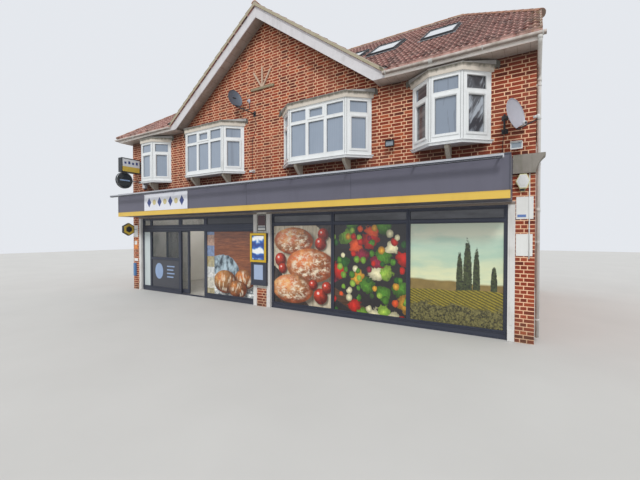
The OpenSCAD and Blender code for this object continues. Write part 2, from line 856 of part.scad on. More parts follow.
// Mullion centres of the left shop: poster light, window, doorway and picture window
function left_mullions() = let (c = clear_width(left_open))
    [c[0] + 480, doorway_x - shop_bar, doorway_x + doorway_w + shop_bar];
function left_lights() = let (c = clear_width(left_open), m = left_mullions(), b = shop_bar)
    [[c[0] + b, m[0] - b / 2], [m[0] + b / 2, m[1] - b], [m[1] + b, m[2] - b],
     [m[2] + b, c[1] - b / 2]];
// Glazed holes over the transom and beneath it, without the doorway
function left_top_z() = left_transom_z + left_transom_h;
function left_holes() = let (l = left_lights(), top = shop_head_z - shop_head_h - shop_bar)
    concat([for (k = l) [k[0], left_top_z(), k[1] - k[0], top - left_top_z()]],
        [for (k = [0, 1, 3]) [l[k][0], shop_base_h, l[k][1] - l[k][0],
            left_transom_z - shop_base_h]]);
function right_holes() = let (c = clear_width(right_open), b = shop_bar,
    step = (c[1] - c[0] - b) / 3, top = shop_head_z - shop_head_h - b)
    concat([for (k = [0 : 2]) [c[0] + b + k * step, right_transom_z + b, step - b,
            top - right_transom_z - b]],
        [for (k = [0 : 2]) [c[0] + b + k * step, shop_base_h, step - b,
            right_transom_z - shop_base_h]]);

module left_shopfront() {
    c = clear_width(left_open);
    l = left_lights();
    doorway = [l[2][0], slab_t, l[2][1] - l[2][0], left_transom_z - slab_t];
    color("#3b4147") {
        shop_frame(c[0], c[1], concat(left_holes(), [doorway]));
        box([l[1][0], frame_y, stall_panel_z - shop_bar / 2],
            [l[1][1], frame_y + shop_frame_t, stall_panel_z + shop_bar / 2]);
    }
}

// One sheet of glass fills each hole of a shop frame
module shop_glass(holes) {
    for (h = holes)
        box([h[0], frame_y + 20, h[1]], [h[0] + h[2], frame_y + 20 + glass_t, h[1] + h[3]]);
}

module left_shop_glass() {
    l = left_lights();
    color("#7f95a0") difference() {
        shop_glass(left_holes());
        box([l[1][0] - 1, frame_y - 1, stall_panel_z - shop_bar / 2],
            [l[1][1] + 1, frame_y + shop_frame_t + 1, stall_panel_z + shop_bar / 2]);
    }
}

module right_shopfront() {
    c = clear_width(right_open);
    color("#3b4147") shop_frame(c[0], c[1], right_holes());
}

module right_shop_glass() {
    color("#c4b48f") shop_glass(right_holes());
}

// The grey sign fascia: a closed sheet box with its back against the wall
module fascia() {
    color("#5c5f69") difference() {
        box([fascia_left, fascia_y, shop_head_z], [fascia_right, front_y, fascia_top]);
        box([fascia_left + fascia_t, fascia_y + fascia_t, shop_head_z + fascia_t],
            [fascia_right - fascia_t, front_y + 1, fascia_top - fascia_t]);
    }
}

module fascia_band() {
    color("#e8c53a") box([fascia_left, fascia_y - band_t, shop_head_z],
        [fascia_right, fascia_y, shop_head_z + band_h]);
}

module sign_panel() {
    x = fascia_left + panel_in;
    z = shop_head_z + band_h + 2;
    color("#e4e6ea") box([x, fascia_y - band_t, z], [x + panel_w, fascia_y, z + panel_h]);
}

// The trough light on its arms, which reach over the sign panel to the fascia
module light_trough() {
    top = fascia_top - light_drop;
    y = fascia_y - light_out - light_s;
    arm = light_s / 3;
    end = 2.5 * light_s;
    span = fascia_right - fascia_left - 2 * end - 1.5 * arm;
    color("#c9ccd1") {
        box([fascia_left - light_shift, y, top - light_s], [fascia_right - light_shift, y + light_s, top]);
        for (k = [0 : 8]) translate([fascia_left + end + k * span / 8, 0, top - arm])
            box([0, y + light_s, 0], [1.5 * arm, fascia_y, arm]);
    }
}

// The box over the doorway that the sliding door hangs in
module door_track() {
    x0 = doorway_x + door_over - door_w - 70;
    x1 = doorway_x + doorway_w + door_over + 70;
    y0 = frame_y + shop_frame_t;
    y1 = door_y + door_t + door_gap + track_t;
    z0 = door_z + door_h + door_gap;
    mid = door_y + door_t / 2;
    t = track_t;
    color("#3b4147") difference() {
        box([x0, y0, z0], [x1, y1, z0 + track_h]);
        box([x0 + t, y0 + t, z0 + t], [x1 - t, y1 - t, z0 + track_h - t]);
        box([x0 + t, mid - hanger_t, z0 - 1], [x1 - t, mid + hanger_t, z0 + t + 1]);
    }
}

// The sliding leaf with its two hangers, where the photograph shows it standing open
module sliding_door() {
    x1 = doorway_x + door_show;
    x0 = x1 - door_w;
    z1 = door_z + door_h;
    mid = door_y + door_t / 2;
    wheel_z = z1 + door_gap + track_t + 0.3 + wheel_r;
    color("#3b4147") {
        difference() {
            box([x0, door_y, door_z], [x1, door_y + door_t, z1]);
            box([x0 + door_rail, door_y - 1, door_z + 2 * door_rail],
                [x1 - door_rail, door_y + door_t + 1, z1 - door_rail]);
        }
        for (x = [x0 + 3 * door_rail, x1 - 3 * door_rail]) {
            box([x - wheel_r / 2, mid - hanger_t / 2, z1], [x + wheel_r / 2, mid + hanger_t / 2, wheel_z]);
            translate([x, mid + wheel_w / 2, wheel_z]) rotate([90, 0, 0])
                cylinder(h = wheel_w, r = wheel_r, $fn = 48);
        }
    }
}

module door_glass() {
    x1 = doorway_x + door_show;
    color("#9fb0bb") box([x1 - door_w + door_rail, door_y + 15, door_z + 2 * door_rail],
        [x1 - door_rail, door_y + 15 + glass_t, door_z + door_h - door_rail]);
}

// White frames in the rear windows
module rear_windows() {
    y = half_d - 110;
    color("#f2f3f4") for (o = rear_openings()) if (o[2] == rear_window_w) difference() {
        box([o[0] - o[2] / 2, y, o[1]], [o[0] + o[2] / 2, y + bay_frame_t, o[1] + o[3]]);
        for (k = [0, 1]) rear_pane(o, k, y - 1, y + bay_frame_t + 1);
    }
}

// One of the two panes of a rear window
module rear_pane(o, k, y0, y1) {
    w = (o[2] - 3 * bay_rail) / 2;
    x = o[0] - o[2] / 2 + bay_rail + k * (w + bay_rail);
    box([x, y0, o[1] + bay_rail], [x + w, y1, o[1] + o[3] - bay_rail]);
}

module rear_glass() {
    y = half_d - 110 + bay_frame_t / 2;
    color("#9fb0bb") for (o = rear_openings()) if (o[2] == rear_window_w)
        for (k = [0, 1]) rear_pane(o, k, y, y + glass_t);
}

module rear_doors() {
    y = half_d - 110;
    color("#e9eaea") for (o = rear_openings()) if (o[2] == rear_door_w)
        box([o[0] - o[2] / 2, y, o[1]], [o[0] + o[2] / 2, y + bay_frame_t, o[1] + o[3]]);
}

// A shallow dish of revolution cut straight along its foot, with a feed before it and a round
// bracket on the wall. Each arm is a pair of points among its middle, knee, bracket and feed.
module dish(d, at, turn, tilt, knee, wall_at, feed, arms) {
    t = dish_d / 100;
    rod = dish_d / 43;
    translate(at) rotate([0, 0, turn]) rotate([90 - tilt, 0, 0]) intersection() {
        rotate_extrude($fn = 64)
            polygon([for (k = [0 : 6]) [d * sin(5 * k), d - d * cos(5 * k)],
                for (k = [6 : -1 : 0]) [d * sin(5 * k), d - d * cos(5 * k) + t]]);
        translate([-d, -0.43 * d, -d]) cube(2 * d);
    }
    for (p = [at, knee]) translate(p) cube(4 * rod, center = true);
    for (p = arms) round_rod(p[0], p[1], rod, 1.1 * rod);
    translate(feed) cylinder(h = d / 5, r = d / 18, center = true, $fn = 32);
    translate(wall_at - [0, 2 * rod, 0]) rotate([-90, 0, 0])
        cylinder(h = front_y - wall_at[1] + 2 * rod, r = dish_d / 15, $fn = 32);
}

// A round rod between two points, short of each by the given length
module round_rod(a, b, r, short) {
    d = b - a;
    translate(a) rotate([0, 90 - atan2(d[2], norm([d[0], d[1]])), atan2(d[1], d[0])])
        translate([0, 0, short]) cylinder(h = norm(d) - 2 * short, r = r, $fn = 24);
}

// The dark dish in the gable beside the sunburst and the pale one near the right corner
module satellite_dishes() {
    dark = [sunburst_x - 1.48 * dish_d, front_y - 0.61 * dish_d, sunburst_z - 0.47 * dish_d];
    dark_knee = dark - [0, 0, 0.53 * dish_d];
    dark_wall = dark + [dish_d, 0, -dish_d];
    dark_feed = dark + [1.2 * dish_d, 0, -0.5 * dish_d];
    pale = [half_w - dish_in, front_y - 0.55 * dish_d, dish_z];
    pale_knee = pale - [0, 0, 0.55 * dish_d];
    pale_wall = pale + [-0.25 * dish_d, 0.27 * dish_d, 0];
    pale_feed = pale + [0.75 * dish_d, -0.4 * dish_d, -0.32 * dish_d];
    color("#6b6f73") {
        dish(0.9 * dish_d, dark, 70, 20, dark_knee, dark_wall, dark_feed,
            [[dark, dark_knee], [dark_knee, dark_wall], [dark_wall, dark_feed]]);
        dish(1.08 * dish_d, pale, 60, 10, pale_knee, pale_wall, pale_feed,
            [[pale, pale_knee], [pale_knee, pale_feed], [pale, pale_wall]]);
    }
}

// An alarm sounder on the right pier: a hexagon drawn out to the right, over its strobe
module alarm_box() {
    h = alarm_h / 2;
    w = alarm_w / 2;
    color("#e9e7c8") translate([half_w - right_pier_w / 2 - alarm_w / 6, 0, alarm_z]) {
        along_y(front_y - alarm_t, front_y) polygon([[-w, 0], [-w + h / 2, h], [w / 2, h], [w, 0],
            [w / 2, -h], [-w + h / 2, -h]]);
        along_y(front_y - alarm_t / 2, front_y) polygon([[-w / 2, -h], [w / 3, -h],
            [w / 4, -h - alarm_h / 5], [-w / 3, -h - alarm_h / 5]]);
    }
}

module floodlights() {
    h = flood_w / 3;
    arm = flood_w / 9;
    y = front_y - flood_w / 2;
    left = [bays[2][0] + flood_from_bay, bay_z + 0.9 * flood_w];
    right = [half_w - flood_in, bay_z - 1.1 * flood_w];
    color("#55585c") for (p = [left, right]) {
        box([p[0] - flood_w / 2, y - h, p[1] - h], [p[0] + flood_w / 2, y, p[1] + h]);
        box([p[0] - arm, y, p[1] - arm], [p[0] + arm, front_y, p[1] + arm]);
    }
}

// A framed case and a dark box under it, on the middle pier
module notice_cases() {
    w = case_w / 2;
    inset = 15;
    off_centre = 3 * inset;
    y1 = front_y - inset;
    y0 = y1 - case_t;
    color("#d8b92c") translate([middle_pier_x - off_centre, 0, 0]) {
        box([-w, y0, case_z - case_h], [w, y1, case_z]);
        box([inset - w, y0 + inset, case_z - case_h - low_case_h], [w - inset, y1, case_z - case_h]);
    }
}

// Three rays over a bar
module sunburst() {
    bar = 60;
    color("#8b6f4a") along_y(front_y - 40, front_y) translate([sunburst_x, sunburst_z]) {
        translate([-sunburst_w / 2, -bar / 2]) square([sunburst_w, bar]);
        for (a = [-33, 0, 33]) rotate(a) translate([-bar / 3, 0]) square([bar / 1.5, 0.69 * sunburst_w]);
    }
}

// A box sign, a round sign and a small hexagonal sign that stand out at the left corner
module corner_signs() {
    x = box_sign_in - half_w;
    y = front_y - box_sign_t / 4;
    mid = x - box_sign_t / 2;
    rod = box_sign_t / 12;
    round_x = mid - round_sign_t / 2;
    round_y = y - box_sign_w + round_sign_d / 4;
    round_z = box_sign_z - round_sign_d / 2;
    color("#3c3f42") {
        box([x - box_sign_t, y - box_sign_w, box_sign_z], [x, y, box_sign_z + box_sign_h]);
        for (z = [box_sign_h / 6, box_sign_h - box_sign_h / 6]) translate([mid, 0, box_sign_z + z])
            box([-rod, y, -rod], [rod, front_y, rod]);
        translate([round_x, round_y, round_z]) rotate([0, 90, 0])
            cylinder(h = round_sign_t, r = round_sign_d / 2, $fn = 64);
        translate([mid, 0, round_z]) box([-rod, round_y, -rod], [rod, front_y, rod]);
        hex_sign();
    }
}

// The hexagonal sign on its rod, in the corner of the left pier
module hex_sign() {
    thick = hex_sign_d / 5;
    r = hex_sign_d / 2;
    x = left_pier_w * 2 / 3 - half_w;
    y = front_y - r * 1.35;
    translate([x - thick, y, hex_sign_z]) rotate([0, 90, 0]) cylinder(h = thick, r = r, $fn = 6);
    box([x - thick * 0.6, y, hex_sign_z - thick / 6], [x - thick * 0.4, front_y, hex_sign_z + thick / 6]);
}

ground_floor();
first_floor();
loft_floor();
left_wall();
right_wall();
rear_wall();
front_wall();
gable_wall();
shop_piers();
corbel();
front_roof();
rear_roof();
gable_roof();
left_hip();
right_half_hip();
ridge_tiles();
hip_tiles();
roof_windows();
roof_window_glass();
eaves_boards();
bargeboards();
eaves_soffits();
gable_soffit();
gutters();
downpipes();
left_small_bay();
left_large_bay();
right_large_bay();
right_small_bay();
bay_glass();
bay_roofs();
bay_sills();
bay_brackets();
left_shopfront();
left_shop_glass();
right_shopfront();
right_shop_glass();
shop_surrounds();
fascia();
fascia_band();
sign_panel();
light_trough();
door_track();
sliding_door();
door_glass();
rear_windows();
rear_glass();
rear_doors();
satellite_dishes();
alarm_box();
floodlights();
notice_cases();
sunburst();
corner_signs();
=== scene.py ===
"""Corner shop building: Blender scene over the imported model."""
import math
import random

import bmesh
import bpy
from mathutils import Matrix, Vector


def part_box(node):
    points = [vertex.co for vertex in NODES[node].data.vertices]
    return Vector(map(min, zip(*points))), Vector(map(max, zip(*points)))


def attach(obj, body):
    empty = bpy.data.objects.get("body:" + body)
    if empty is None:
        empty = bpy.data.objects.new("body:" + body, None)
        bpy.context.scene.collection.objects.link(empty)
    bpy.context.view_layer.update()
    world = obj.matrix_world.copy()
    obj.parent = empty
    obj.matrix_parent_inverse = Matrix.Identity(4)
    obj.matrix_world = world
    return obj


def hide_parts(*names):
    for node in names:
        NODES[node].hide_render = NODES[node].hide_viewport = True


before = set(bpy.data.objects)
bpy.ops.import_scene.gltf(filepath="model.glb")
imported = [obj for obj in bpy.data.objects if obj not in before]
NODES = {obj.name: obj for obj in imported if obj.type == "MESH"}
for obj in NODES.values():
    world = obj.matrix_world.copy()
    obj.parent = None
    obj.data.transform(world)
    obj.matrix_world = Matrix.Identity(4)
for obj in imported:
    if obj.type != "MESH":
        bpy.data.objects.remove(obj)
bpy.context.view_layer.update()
RNG = random.Random(7)

# Main sizes in metres, read from the frame where it holds them
(_, FRONT_Y, _), (WALL_X, REAR_Y, _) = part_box("right_wall")
(LEFT_X, EAVE_Y, _), (RIGHT_X, _, RIDGE_Z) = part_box("front_roof")
(_, _, SHOP_HEAD), (_, _, FASCIA_TOP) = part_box("fascia")
WALL_T = 0.225
PITCH = math.radians(36)
EAVE_Z = RIDGE_Z + EAVE_Y * math.tan(PITCH)
GABLE_HALF, _, GABLE_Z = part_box("gable_roof")[1]
RIDGE_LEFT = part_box("left_hip")[1][0]
RIDGE_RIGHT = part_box("right_half_hip")[0][0]
HIP_Z = RIDGE_Z - (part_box("right_half_hip")[1][0] - RIDGE_RIGHT)
LEFT_PITCH = math.atan2(RIDGE_Z - EAVE_Z, RIDGE_LEFT - LEFT_X)
BOARD_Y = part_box("bargeboards")[0][1]
SOFFIT_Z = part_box("eaves_soffits")[0][2]
X, Y, Z = Vector((1, 0, 0)), Vector((0, 1, 0)), Vector((0, 0, 1))


def at(x, y, z):
    return Vector((x, y, z))


def plane(origin, along=X, out=-Y, up=Z):
    """A working plane, as the matrix that turns (along, out, up) into the building's frame."""
    made = Matrix((along, out, up)).transposed().to_4x4()
    made.translation = origin
    return made


def street(y, x=0, z=0):
    """A plane that faces the street."""
    return plane(at(x, y, z))


def rear(y):
    """A plane that faces the back."""
    return plane(at(0, y, 0), -X, Y)


STREET = street(FRONT_Y)

# Bays, as name, centre, width and number of lights, from the frame's boxes
BAY_OUT, BAY_SPLAY, BAY_RAIL, BAY_SASH = 0.4, 0.45, 0.06, 0.032
BAY_LIP, BAY_HEAD, BAY_TOP_PANE = 0.028, 0.13, 0.27
BAY_ANGLE = math.atan2(BAY_OUT, BAY_SPLAY)
BAY_FACE = math.hypot(BAY_OUT, BAY_SPLAY)
(_, _, BAY_Z), (_, _, BAY_TOP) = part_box("left_large_bay")
BAY_H = BAY_TOP - BAY_Z - BAY_HEAD
BAYS = []
for bay_name in ("left_small_bay", "left_large_bay", "right_large_bay", "right_small_bay"):
    (bay_left, _, _), (bay_right, _, _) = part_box(bay_name)
    wide = bay_right - bay_left - 2 * BAY_LIP / math.sin(BAY_ANGLE)
    BAYS.append((bay_name, (bay_left + bay_right) / 2, wide, 3 if wide > 2 else 1))


# Materials

def lin(code):
    """An sRGB hex colour as Blender's linear RGBA."""
    parts = [int(code[k:k + 2], 16) / 255 for k in (0, 2, 4)]
    return [c / 12.92 if c <= 0.04045 else ((c + 0.055) / 1.055) ** 2.4 for c in parts] + [1]


class Surface:
    """A new material with its shader, and the object's own coordinates and facing."""

    def __init__(self, name, rough=0.6, metal=0, coat=0):
        self.material = bpy.data.materials.new(name)
        self.material.use_nodes = True
        self.tree = self.material.node_tree
        self.shader = self.tree.nodes["Principled BSDF"]
        for key, value in (("Roughness", rough), ("Metallic", metal), ("Coat Weight", coat)):
            self.shader.inputs[key].default_value = value
        self.place = self.add("TexCoord").node.outputs["Object"]
        self.x, self.y, self.z = self.add("SeparateXYZ", self.place).node.outputs
        normal = self.add("NewGeometry").node.outputs["Normal"]
        self.nx, self.ny, self.nz = self.add("SeparateXYZ", normal).node.outputs

    def feed(self, socket, value):
        """Links a socket or sets its value, where a text is a hex colour."""
        if isinstance(value, bpy.types.NodeSocket):
            self.tree.links.new(value, socket)
        elif value is not None:
            socket.default_value = lin(value) if isinstance(value, str) else value

    def add(self, kind, *values, stops=None, **settings):
        """Adds a node with its settings, feeds its sockets in order and gives its first output.

        A second word in kind is the node's operation or way of blending.
        """
        kind, _, mode = kind.partition(" ")
        node = self.tree.nodes.new("ShaderNode" + kind)
        if kind == "Mix":
            settings["data_type"] = "RGBA"
        if mode:
            settings["blend_type" if kind == "Mix" else "operation"] = mode
        owner = node.color_ramp if stops else node
        for key, value in settings.items():
            setattr(owner, key, value)
        if stops:
            while len(owner.elements) < len(stops):
                owner.elements.new(0.5)
            for element, (place, colour) in zip(owner.elements, stops.items()):
                element.position = place
                element.color = lin(colour)
        for socket, value in zip([s for s in node.inputs if s.enabled], values):
            self.feed(socket, value)
        return next(s for s in node.outputs if s.enabled)

    def lay(self, under, over, value, *reach):
        """Lays a colour over another as far as a value lies from low to high."""
        return self.add("Mix", self.add("MapRange", value, *reach), under, over)

    def finish(self, colour, relief=None, rough=None):
        """Feeds the shader and gives the material."""
        for key, value in (("Base Color", colour), ("Normal", relief), ("Roughness", rough)):
            self.feed(self.shader.inputs[key], value)
        return self.material


def worn(name, colour, dirt, rough=0.5, metal=0, coat=0, amount=0.5, scale=3, streak=6, fine=0.0008):
    """A painted, moulded or rolled surface: a cloudy change of tone, rain streaks and fine grain.

    The clouds are about 1 / scale metres wide, and the grain is drawn as coarse as it needs to show.
    """
    s = Surface(name, rough, metal, coat)
    add = s.add
    cloud = add("TexNoise", s.place, scale, 4, 0.6)
    rain = add("Mapping", s.place, None, None, (streak, streak, streak * 0.12))
    runs = add("TexNoise", rain, 2, 3, 0.6)
    mask = add("Math MULTIPLY", add("MapRange", cloud, 0.42, 0.75), add("MapRange", runs, 0.35, 0.75))
    shade = add("Mix", add("Math MULTIPLY", mask, amount, use_clamp=True), colour, dirt)
    grain = add("TexNoise", s.place, 90, 2, 0.55)
    return s.finish(shade, add("Bump", 0.4, fine, None, grain),
                    add("MapRange", cloud, None, None, rough - 0.08, rough + 0.12))


# Brickwork

COURSE, JOINT, STRETCHER, HEADER = 0.075, 0.01, 0.225, 0.1125
BOND = 2 * STRETCHER + HEADER


def brick_pattern(s):
    """Monk bond: two stretchers and a header in each course, shifted by half in the next."""
    add = s.add
    side = add("MapRange", add("Math ABSOLUTE", s.nx), 0.499, 0.501)
    along = add("Math MULTIPLY_ADD", side, add("Math SUBTRACT", s.y, s.x), s.x)
    wave = add("TexNoise", s.place, 5, 2, 0.55)
    wobble = add("Math MULTIPLY", add("Math SUBTRACT", wave, 0.5), 0.006)
    up = add("Math DIVIDE", add("Math ADD", s.z, wobble), COURSE)
    row = add("Math FLOOR", up)
    shift = add("Math MULTIPLY", add("Math FLOORED_MODULO", row, 2), BOND / 2)
    u = add("Math ADD", add("Math ADD", along, 20 * BOND), add("Math ADD", shift, wobble))
    place = add("Math FLOORED_MODULO", u, BOND)
    group = add("Math FLOOR", add("Math DIVIDE", u, BOND))
    first, second = [add("MapRange", place, k * STRETCHER - 1e-5, k * STRETCHER + 1e-5) for k in (1, 2)]
    index = add("Math ADD", first, second)
    local = add("Math SUBTRACT", place, add("Math MULTIPLY", index, STRETCHER))
    width = add("Math MULTIPLY_ADD", second, HEADER - STRETCHER, STRETCHER)
    edge = add("Math MINIMUM", local, add("Math SUBTRACT", width, local))
    level = add("Math MULTIPLY", add("Math SUBTRACT", up, row), COURSE)
    bed = add("Math MINIMUM", level, add("Math SUBTRACT", COURSE, level))
    chips = add("Math SUBTRACT", add("TexNoise", s.place, 60, 2, 0.55), 0.5)
    gap = add("Math MULTIPLY_ADD", chips, 0.005, add("Math MINIMUM", edge, bed))
    face = add("MapRange", gap, JOINT / 2 + 0.002, JOINT / 2 + 0.0048)
    key = add("CombineXYZ", add("Math MULTIPLY_ADD", group, 3, index), row, side)
    return face, add("TexWhiteNoise", key)


def brick_surface(name, painted=False):
    """Wire-cut facing brick in sand mortar: each brick has its own red, with painted shade under the eaves
    and the bays.
    """
    s = Surface(name, 0.86)
    add = s.add
    face, tone = brick_pattern(s)
    brick = add("ValToRGB", tone, stops={0: "6a2c1a", 0.14: "803820", 0.32: "9c4526", 0.5: "883a22",
                                         0.68: "aa5230", 0.84: "964226", 1: "b8663e"})
    grain = add("TexNoise", s.place, 70, 4, 0.7)
    brick = add("Mix SOFT_LIGHT", 0.6, brick,
                add("ValToRGB", grain, stops={0.3: "2c120c", 0.55: "8c6c60", 0.8: "e0b89c"}))
    cloud = add("TexNoise", s.place, 1.3, 3, 0.55)
    brick = s.lay(brick, "a8694e", cloud, 0.45, 0.75, 0, 0.3)
    mortar = add("Mix", add("TexNoise", s.place, 9, 3, 0.55), "dfa882", "fdd3ae")
    colour = add("Mix", face, mortar, brick)
    # Damp and moss near the ground, then painted shade under the eaves and the verges, and under the bays
    soil = add("Math MULTIPLY", add("MapRange", s.z, 0.03, 0.53, 0.8, 0),
               add("TexNoise", s.place, 4, 3, 0.55))
    colour = add("Mix", soil, colour, "55503f")
    runs = add("TexNoise", add("Mapping", s.place, None, None, (3, 3, 0.35)), 2, 3, 0.55)
    colour = s.lay(colour, "6a4a3c", runs, 0.52, 0.8, 0, 0.35)
    reach = add("Math MAXIMUM", 0, add("Math SUBTRACT", GABLE_HALF, add("Math ABSOLUTE", s.x)))
    head = add("Math MULTIPLY_ADD", reach, math.tan(PITCH), SOFFIT_Z)
    painted_eave_and_bay_shade = add("MapRange", add("Math SUBTRACT", head, s.z), 0.02, 0.32, 0.8, 0)
    # Painted shade on the brick just below each bay, strongest under its sill
    for _, cx, w, _ in BAYS:
        beside = add("Math MULTIPLY", add("MapRange", s.x, cx - w / 2, cx - w / 2 + 0.2),
                     add("MapRange", s.x, cx + w / 2 - 0.14, cx + w / 2 + 0.06, 1, 0))
        low = add("Math MULTIPLY", add("MapRange", s.z, BAY_Z - 0.55, BAY_Z - 0.12, 0, 0.62), beside)
        below = add("MapRange", s.z, BAY_Z - 0.001, BAY_Z + 0.001, 1, 0)
        painted_eave_and_bay_shade = add("Math MAXIMUM", painted_eave_and_bay_shade, add("Math MULTIPLY", low, below))
    front = add("MapRange", s.y, FRONT_Y + 0.04, FRONT_Y + 0.06, 1, 0)
    # The painted shade is laid in dark brown on the outer street faces only
    colour = add("Mix", add("Math MULTIPLY", painted_eave_and_bay_shade, front), colour, "2e1d18")
    if painted:
        colour = paint_over(s, colour, face)
    # The plastered faces inside the rooms
    inside = add("MapRange", add("Math MAXIMUM", add("Math ABSOLUTE", s.nx), add("Math ABSOLUTE", s.ny)),
                 0.499, 0.501)
    for value, low, high in ((s.x, WALL_T - WALL_X, WALL_X - WALL_T),
                             (s.y, FRONT_Y + WALL_T, REAR_Y - WALL_T)):
        inside = add("Math MULTIPLY", inside, add("MapRange", value, low - 0.003, low - 0.001))
        inside = add("Math MULTIPLY", inside, add("MapRange", value, high + 0.001, high + 0.003, 1, 0))
    plaster = add("Mix", add("TexNoise", s.place, 2, 3, 0.55), "d9d3c4", "e8e4da")
    colour = add("Mix", inside, colour, plaster)
    relief = add("Math MULTIPLY", add("Math MULTIPLY_ADD", grain, 0.35, face),
                 add("Math SUBTRACT", 1, inside))
    return s.finish(colour, add("Bump", 0.9, 0.005, None, relief))


def paint_over(s, colour, face):
    """White paint on the middle pier's street face, chipped, above a foot of bare brick."""
    add = s.add
    mask = add("MapRange", add("TexNoise", s.place, 14, 4, 0.7), 0.27, 0.33)
    for value, low, high, start in ((s.z, 0.488, 0.512, 0), (s.y, FRONT_Y + 0.089, FRONT_Y + 0.091, 1),
                                    (s.z, SHOP_HEAD - 0.002, SHOP_HEAD + 0.022, 1),
                                    (add("Math ABSOLUTE", s.x), 0.399, 0.401, 1),
                                    (add("Math ABSOLUTE", s.nx), 0.499, 0.501, 1)):
        mask = add("Math MULTIPLY", mask, add("MapRange", value, low, high, start, 1 - start))
    white = add("Mix", add("TexNoise", s.place, 3, 4, 0.55), "cfc8ba", "efece4")
    return add("Mix", mask, colour, add("Mix", face, "bdb6a8", white))


# Roof covering

RIB, GAUGE = 0.115, 0.29
TILE_W = 2 * RIB
# A tile's front edge, its tail under the next course and its ribs stand proud of the slope
NOSE, TAIL, RISE = 0.024, 0.003, 0.018


def tile_surface(name, axis, pitch, base_z, foot):
    """Ribbed clay tiles: each tile has its own tone, with painted shade in the pans and laps and painted
    highlights on the crests and noses.
    """
    s = Surface(name, 0.85)
    add = s.add
    along, across = (s.x, s.y) if axis == "x" else (s.y, s.x)
    # Up the slope from its foot, and proud of it
    run = add("Math SUBTRACT", foot, add("Math ABSOLUTE", across))
    climb = add("Math SUBTRACT", s.z, base_z)
    cos, sin = math.cos(pitch), math.sin(pitch)
    length = add("Math ADD", add("Math MULTIPLY_ADD", run, cos, 0.002), add("Math MULTIPLY", climb, sin))
    course = add("Math MAXIMUM", add("Math DIVIDE", length, GAUGE), 0.01)
    row = add("Math FLOOR", course)
    column = add("Math FLOOR", add("Math ADD", add("Math DIVIDE", along, TILE_W),
                                   add("Math MULTIPLY", row, 0.5)))
    tone = add("TexWhiteNoise", add("CombineXYZ", column, row, pitch))
    colour = add("ValToRGB", tone, stops={0: "5c332c", 0.25: "78453d", 0.5: "8b554c", 0.75: "9b635a",
                                          1: "ab766b"})
    grain = add("TexNoise", s.place, 45, 4, 0.7)
    colour = add("Mix SOFT_LIGHT", 0.5, colour,
                 add("ValToRGB", grain, stops={0.3: "2c1e1c", 0.6: "92706a", 0.8: "d4b8ac"}))
    # Painted highlights on the crests over painted shade in the pans, and painted highlights on the noses
    # over painted shadow in the laps
    lap = add("Math SUBTRACT", course, row)
    proud = add("Math SUBTRACT", add("Math MULTIPLY", climb, cos), add("Math MULTIPLY", run, sin))
    bed = add("Math MULTIPLY_ADD", lap, TAIL - NOSE, NOSE)
    rib = add("Math DIVIDE", add("Math SUBTRACT", proud, bed), RISE)
    painted_pan_shade = add("Math MULTIPLY", add("MapRange", rib, -0.3, -0.1), add("MapRange", rib, 0.05, 0.75, 0.75, 0))
    colour = add("Mix", painted_pan_shade, colour, "2e1612")
    painted_crest_highlight = add("Math MULTIPLY", add("MapRange", rib, 0.55, 1, 0, 0.6),
                add("MapRange", lap, 0.2, 0.8, 1, 0.2))
    colour = add("Mix", painted_crest_highlight, colour, "e2b8aa")
    highlight_patches = add("MapRange", add("TexNoise", s.place, 9, 3, 0.55), 0.3, 0.55)
    # Painted highlight along each tile's nose, in patches
    nose = add("Math MULTIPLY", add("MapRange", lap, 0.1, 0.22, 0.5, 0), highlight_patches)
    colour = add("Mix", nose, colour, "ecc8bb")
    # Painted shadow across the upper part of each course, under the next course's nose
    colour = s.lay(colour, "261a18", lap, 0.66, 0.98, 0, 0.75)
    patch = add("MapRange", add("TexNoise", s.place, 1.1, 5, 0.7), 0.56, 0.78, 0, 0.2)
    colour = add("Mix", add("Math MULTIPLY", patch, add("MapRange", grain, 0.4, 0.6)), colour, "7d7350")
    # Yellow lichen on the right end
    lichen = add("MapRange", add("TexNoise", s.place, 16, 4, 0.7), 0.46, 0.58, 0, 0.5)
    end = add("MapRange", s.x, RIGHT_X - 0.3, RIGHT_X)
    colour = add("Mix", add("Math MULTIPLY", end, lichen), colour, "98834a")
    if axis == "y":
        edge = add("Mix", add("TexNoise", s.place, 6, 4, 0.7), "8b8462", "b9b09c")
        colour = s.lay(colour, edge, s.ny, -0.8, -0.6, 1, 0)
    return s.finish(colour, add("Bump", 0.8, 0.003, None, grain))


# Meshes

def new_object(name, bm, material, closed=True):
    mesh = bpy.data.meshes.new(name)
    if closed:
        bmesh.ops.recalc_face_normals(bm, faces=bm.faces)
    bm.to_mesh(mesh)
    bm.free()
    ob = bpy.data.objects.new(name, mesh)
    bpy.context.scene.collection.objects.link(ob)
    for one in material if isinstance(material, list) else [material]:
        mesh.materials.append(one)
    return ob


def piece(name, bm, material, body="building", bevel=0, replaces=(), closed=True):
    """Makes the object, bevels it where asked, and seats it on its body."""
    ob = new_object(name, bm, material, closed)
    if bevel:
        edge = ob.modifiers.new("edge", "BEVEL")
        edge.width = bevel
        edge.segments = 2
        edge.limit_method = "ANGLE"
    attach(ob, body)
    if replaces:
        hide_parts(*replaces)
    return ob


def slab(bm, place, x0, x1, z0, z1, d0, d1, material=0, sink=0):
    """A flat block on a plane, between two depths. Its front is smaller all round by sink."""
    size = at(x1 - x0, d1 - d0, z1 - z0)
    body = place @ Matrix.Translation(at(x0 + x1, d0 + d1, z0 + z1) / 2) @ Matrix.Diagonal(size.to_4d())
    made = bmesh.ops.create_cube(bm, size=1, matrix=body)["verts"]
    if sink:
        back = body.inverted()
        bmesh.ops.scale(bm, vec=(1 - 2 * sink / size.x, 1, 1 - 2 * sink / size.z), space=back,
                        verts=[v for v in made if (back @ v.co).y > 0])
    for face in {f for v in made for f in v.link_faces}:
        face.material_index = material


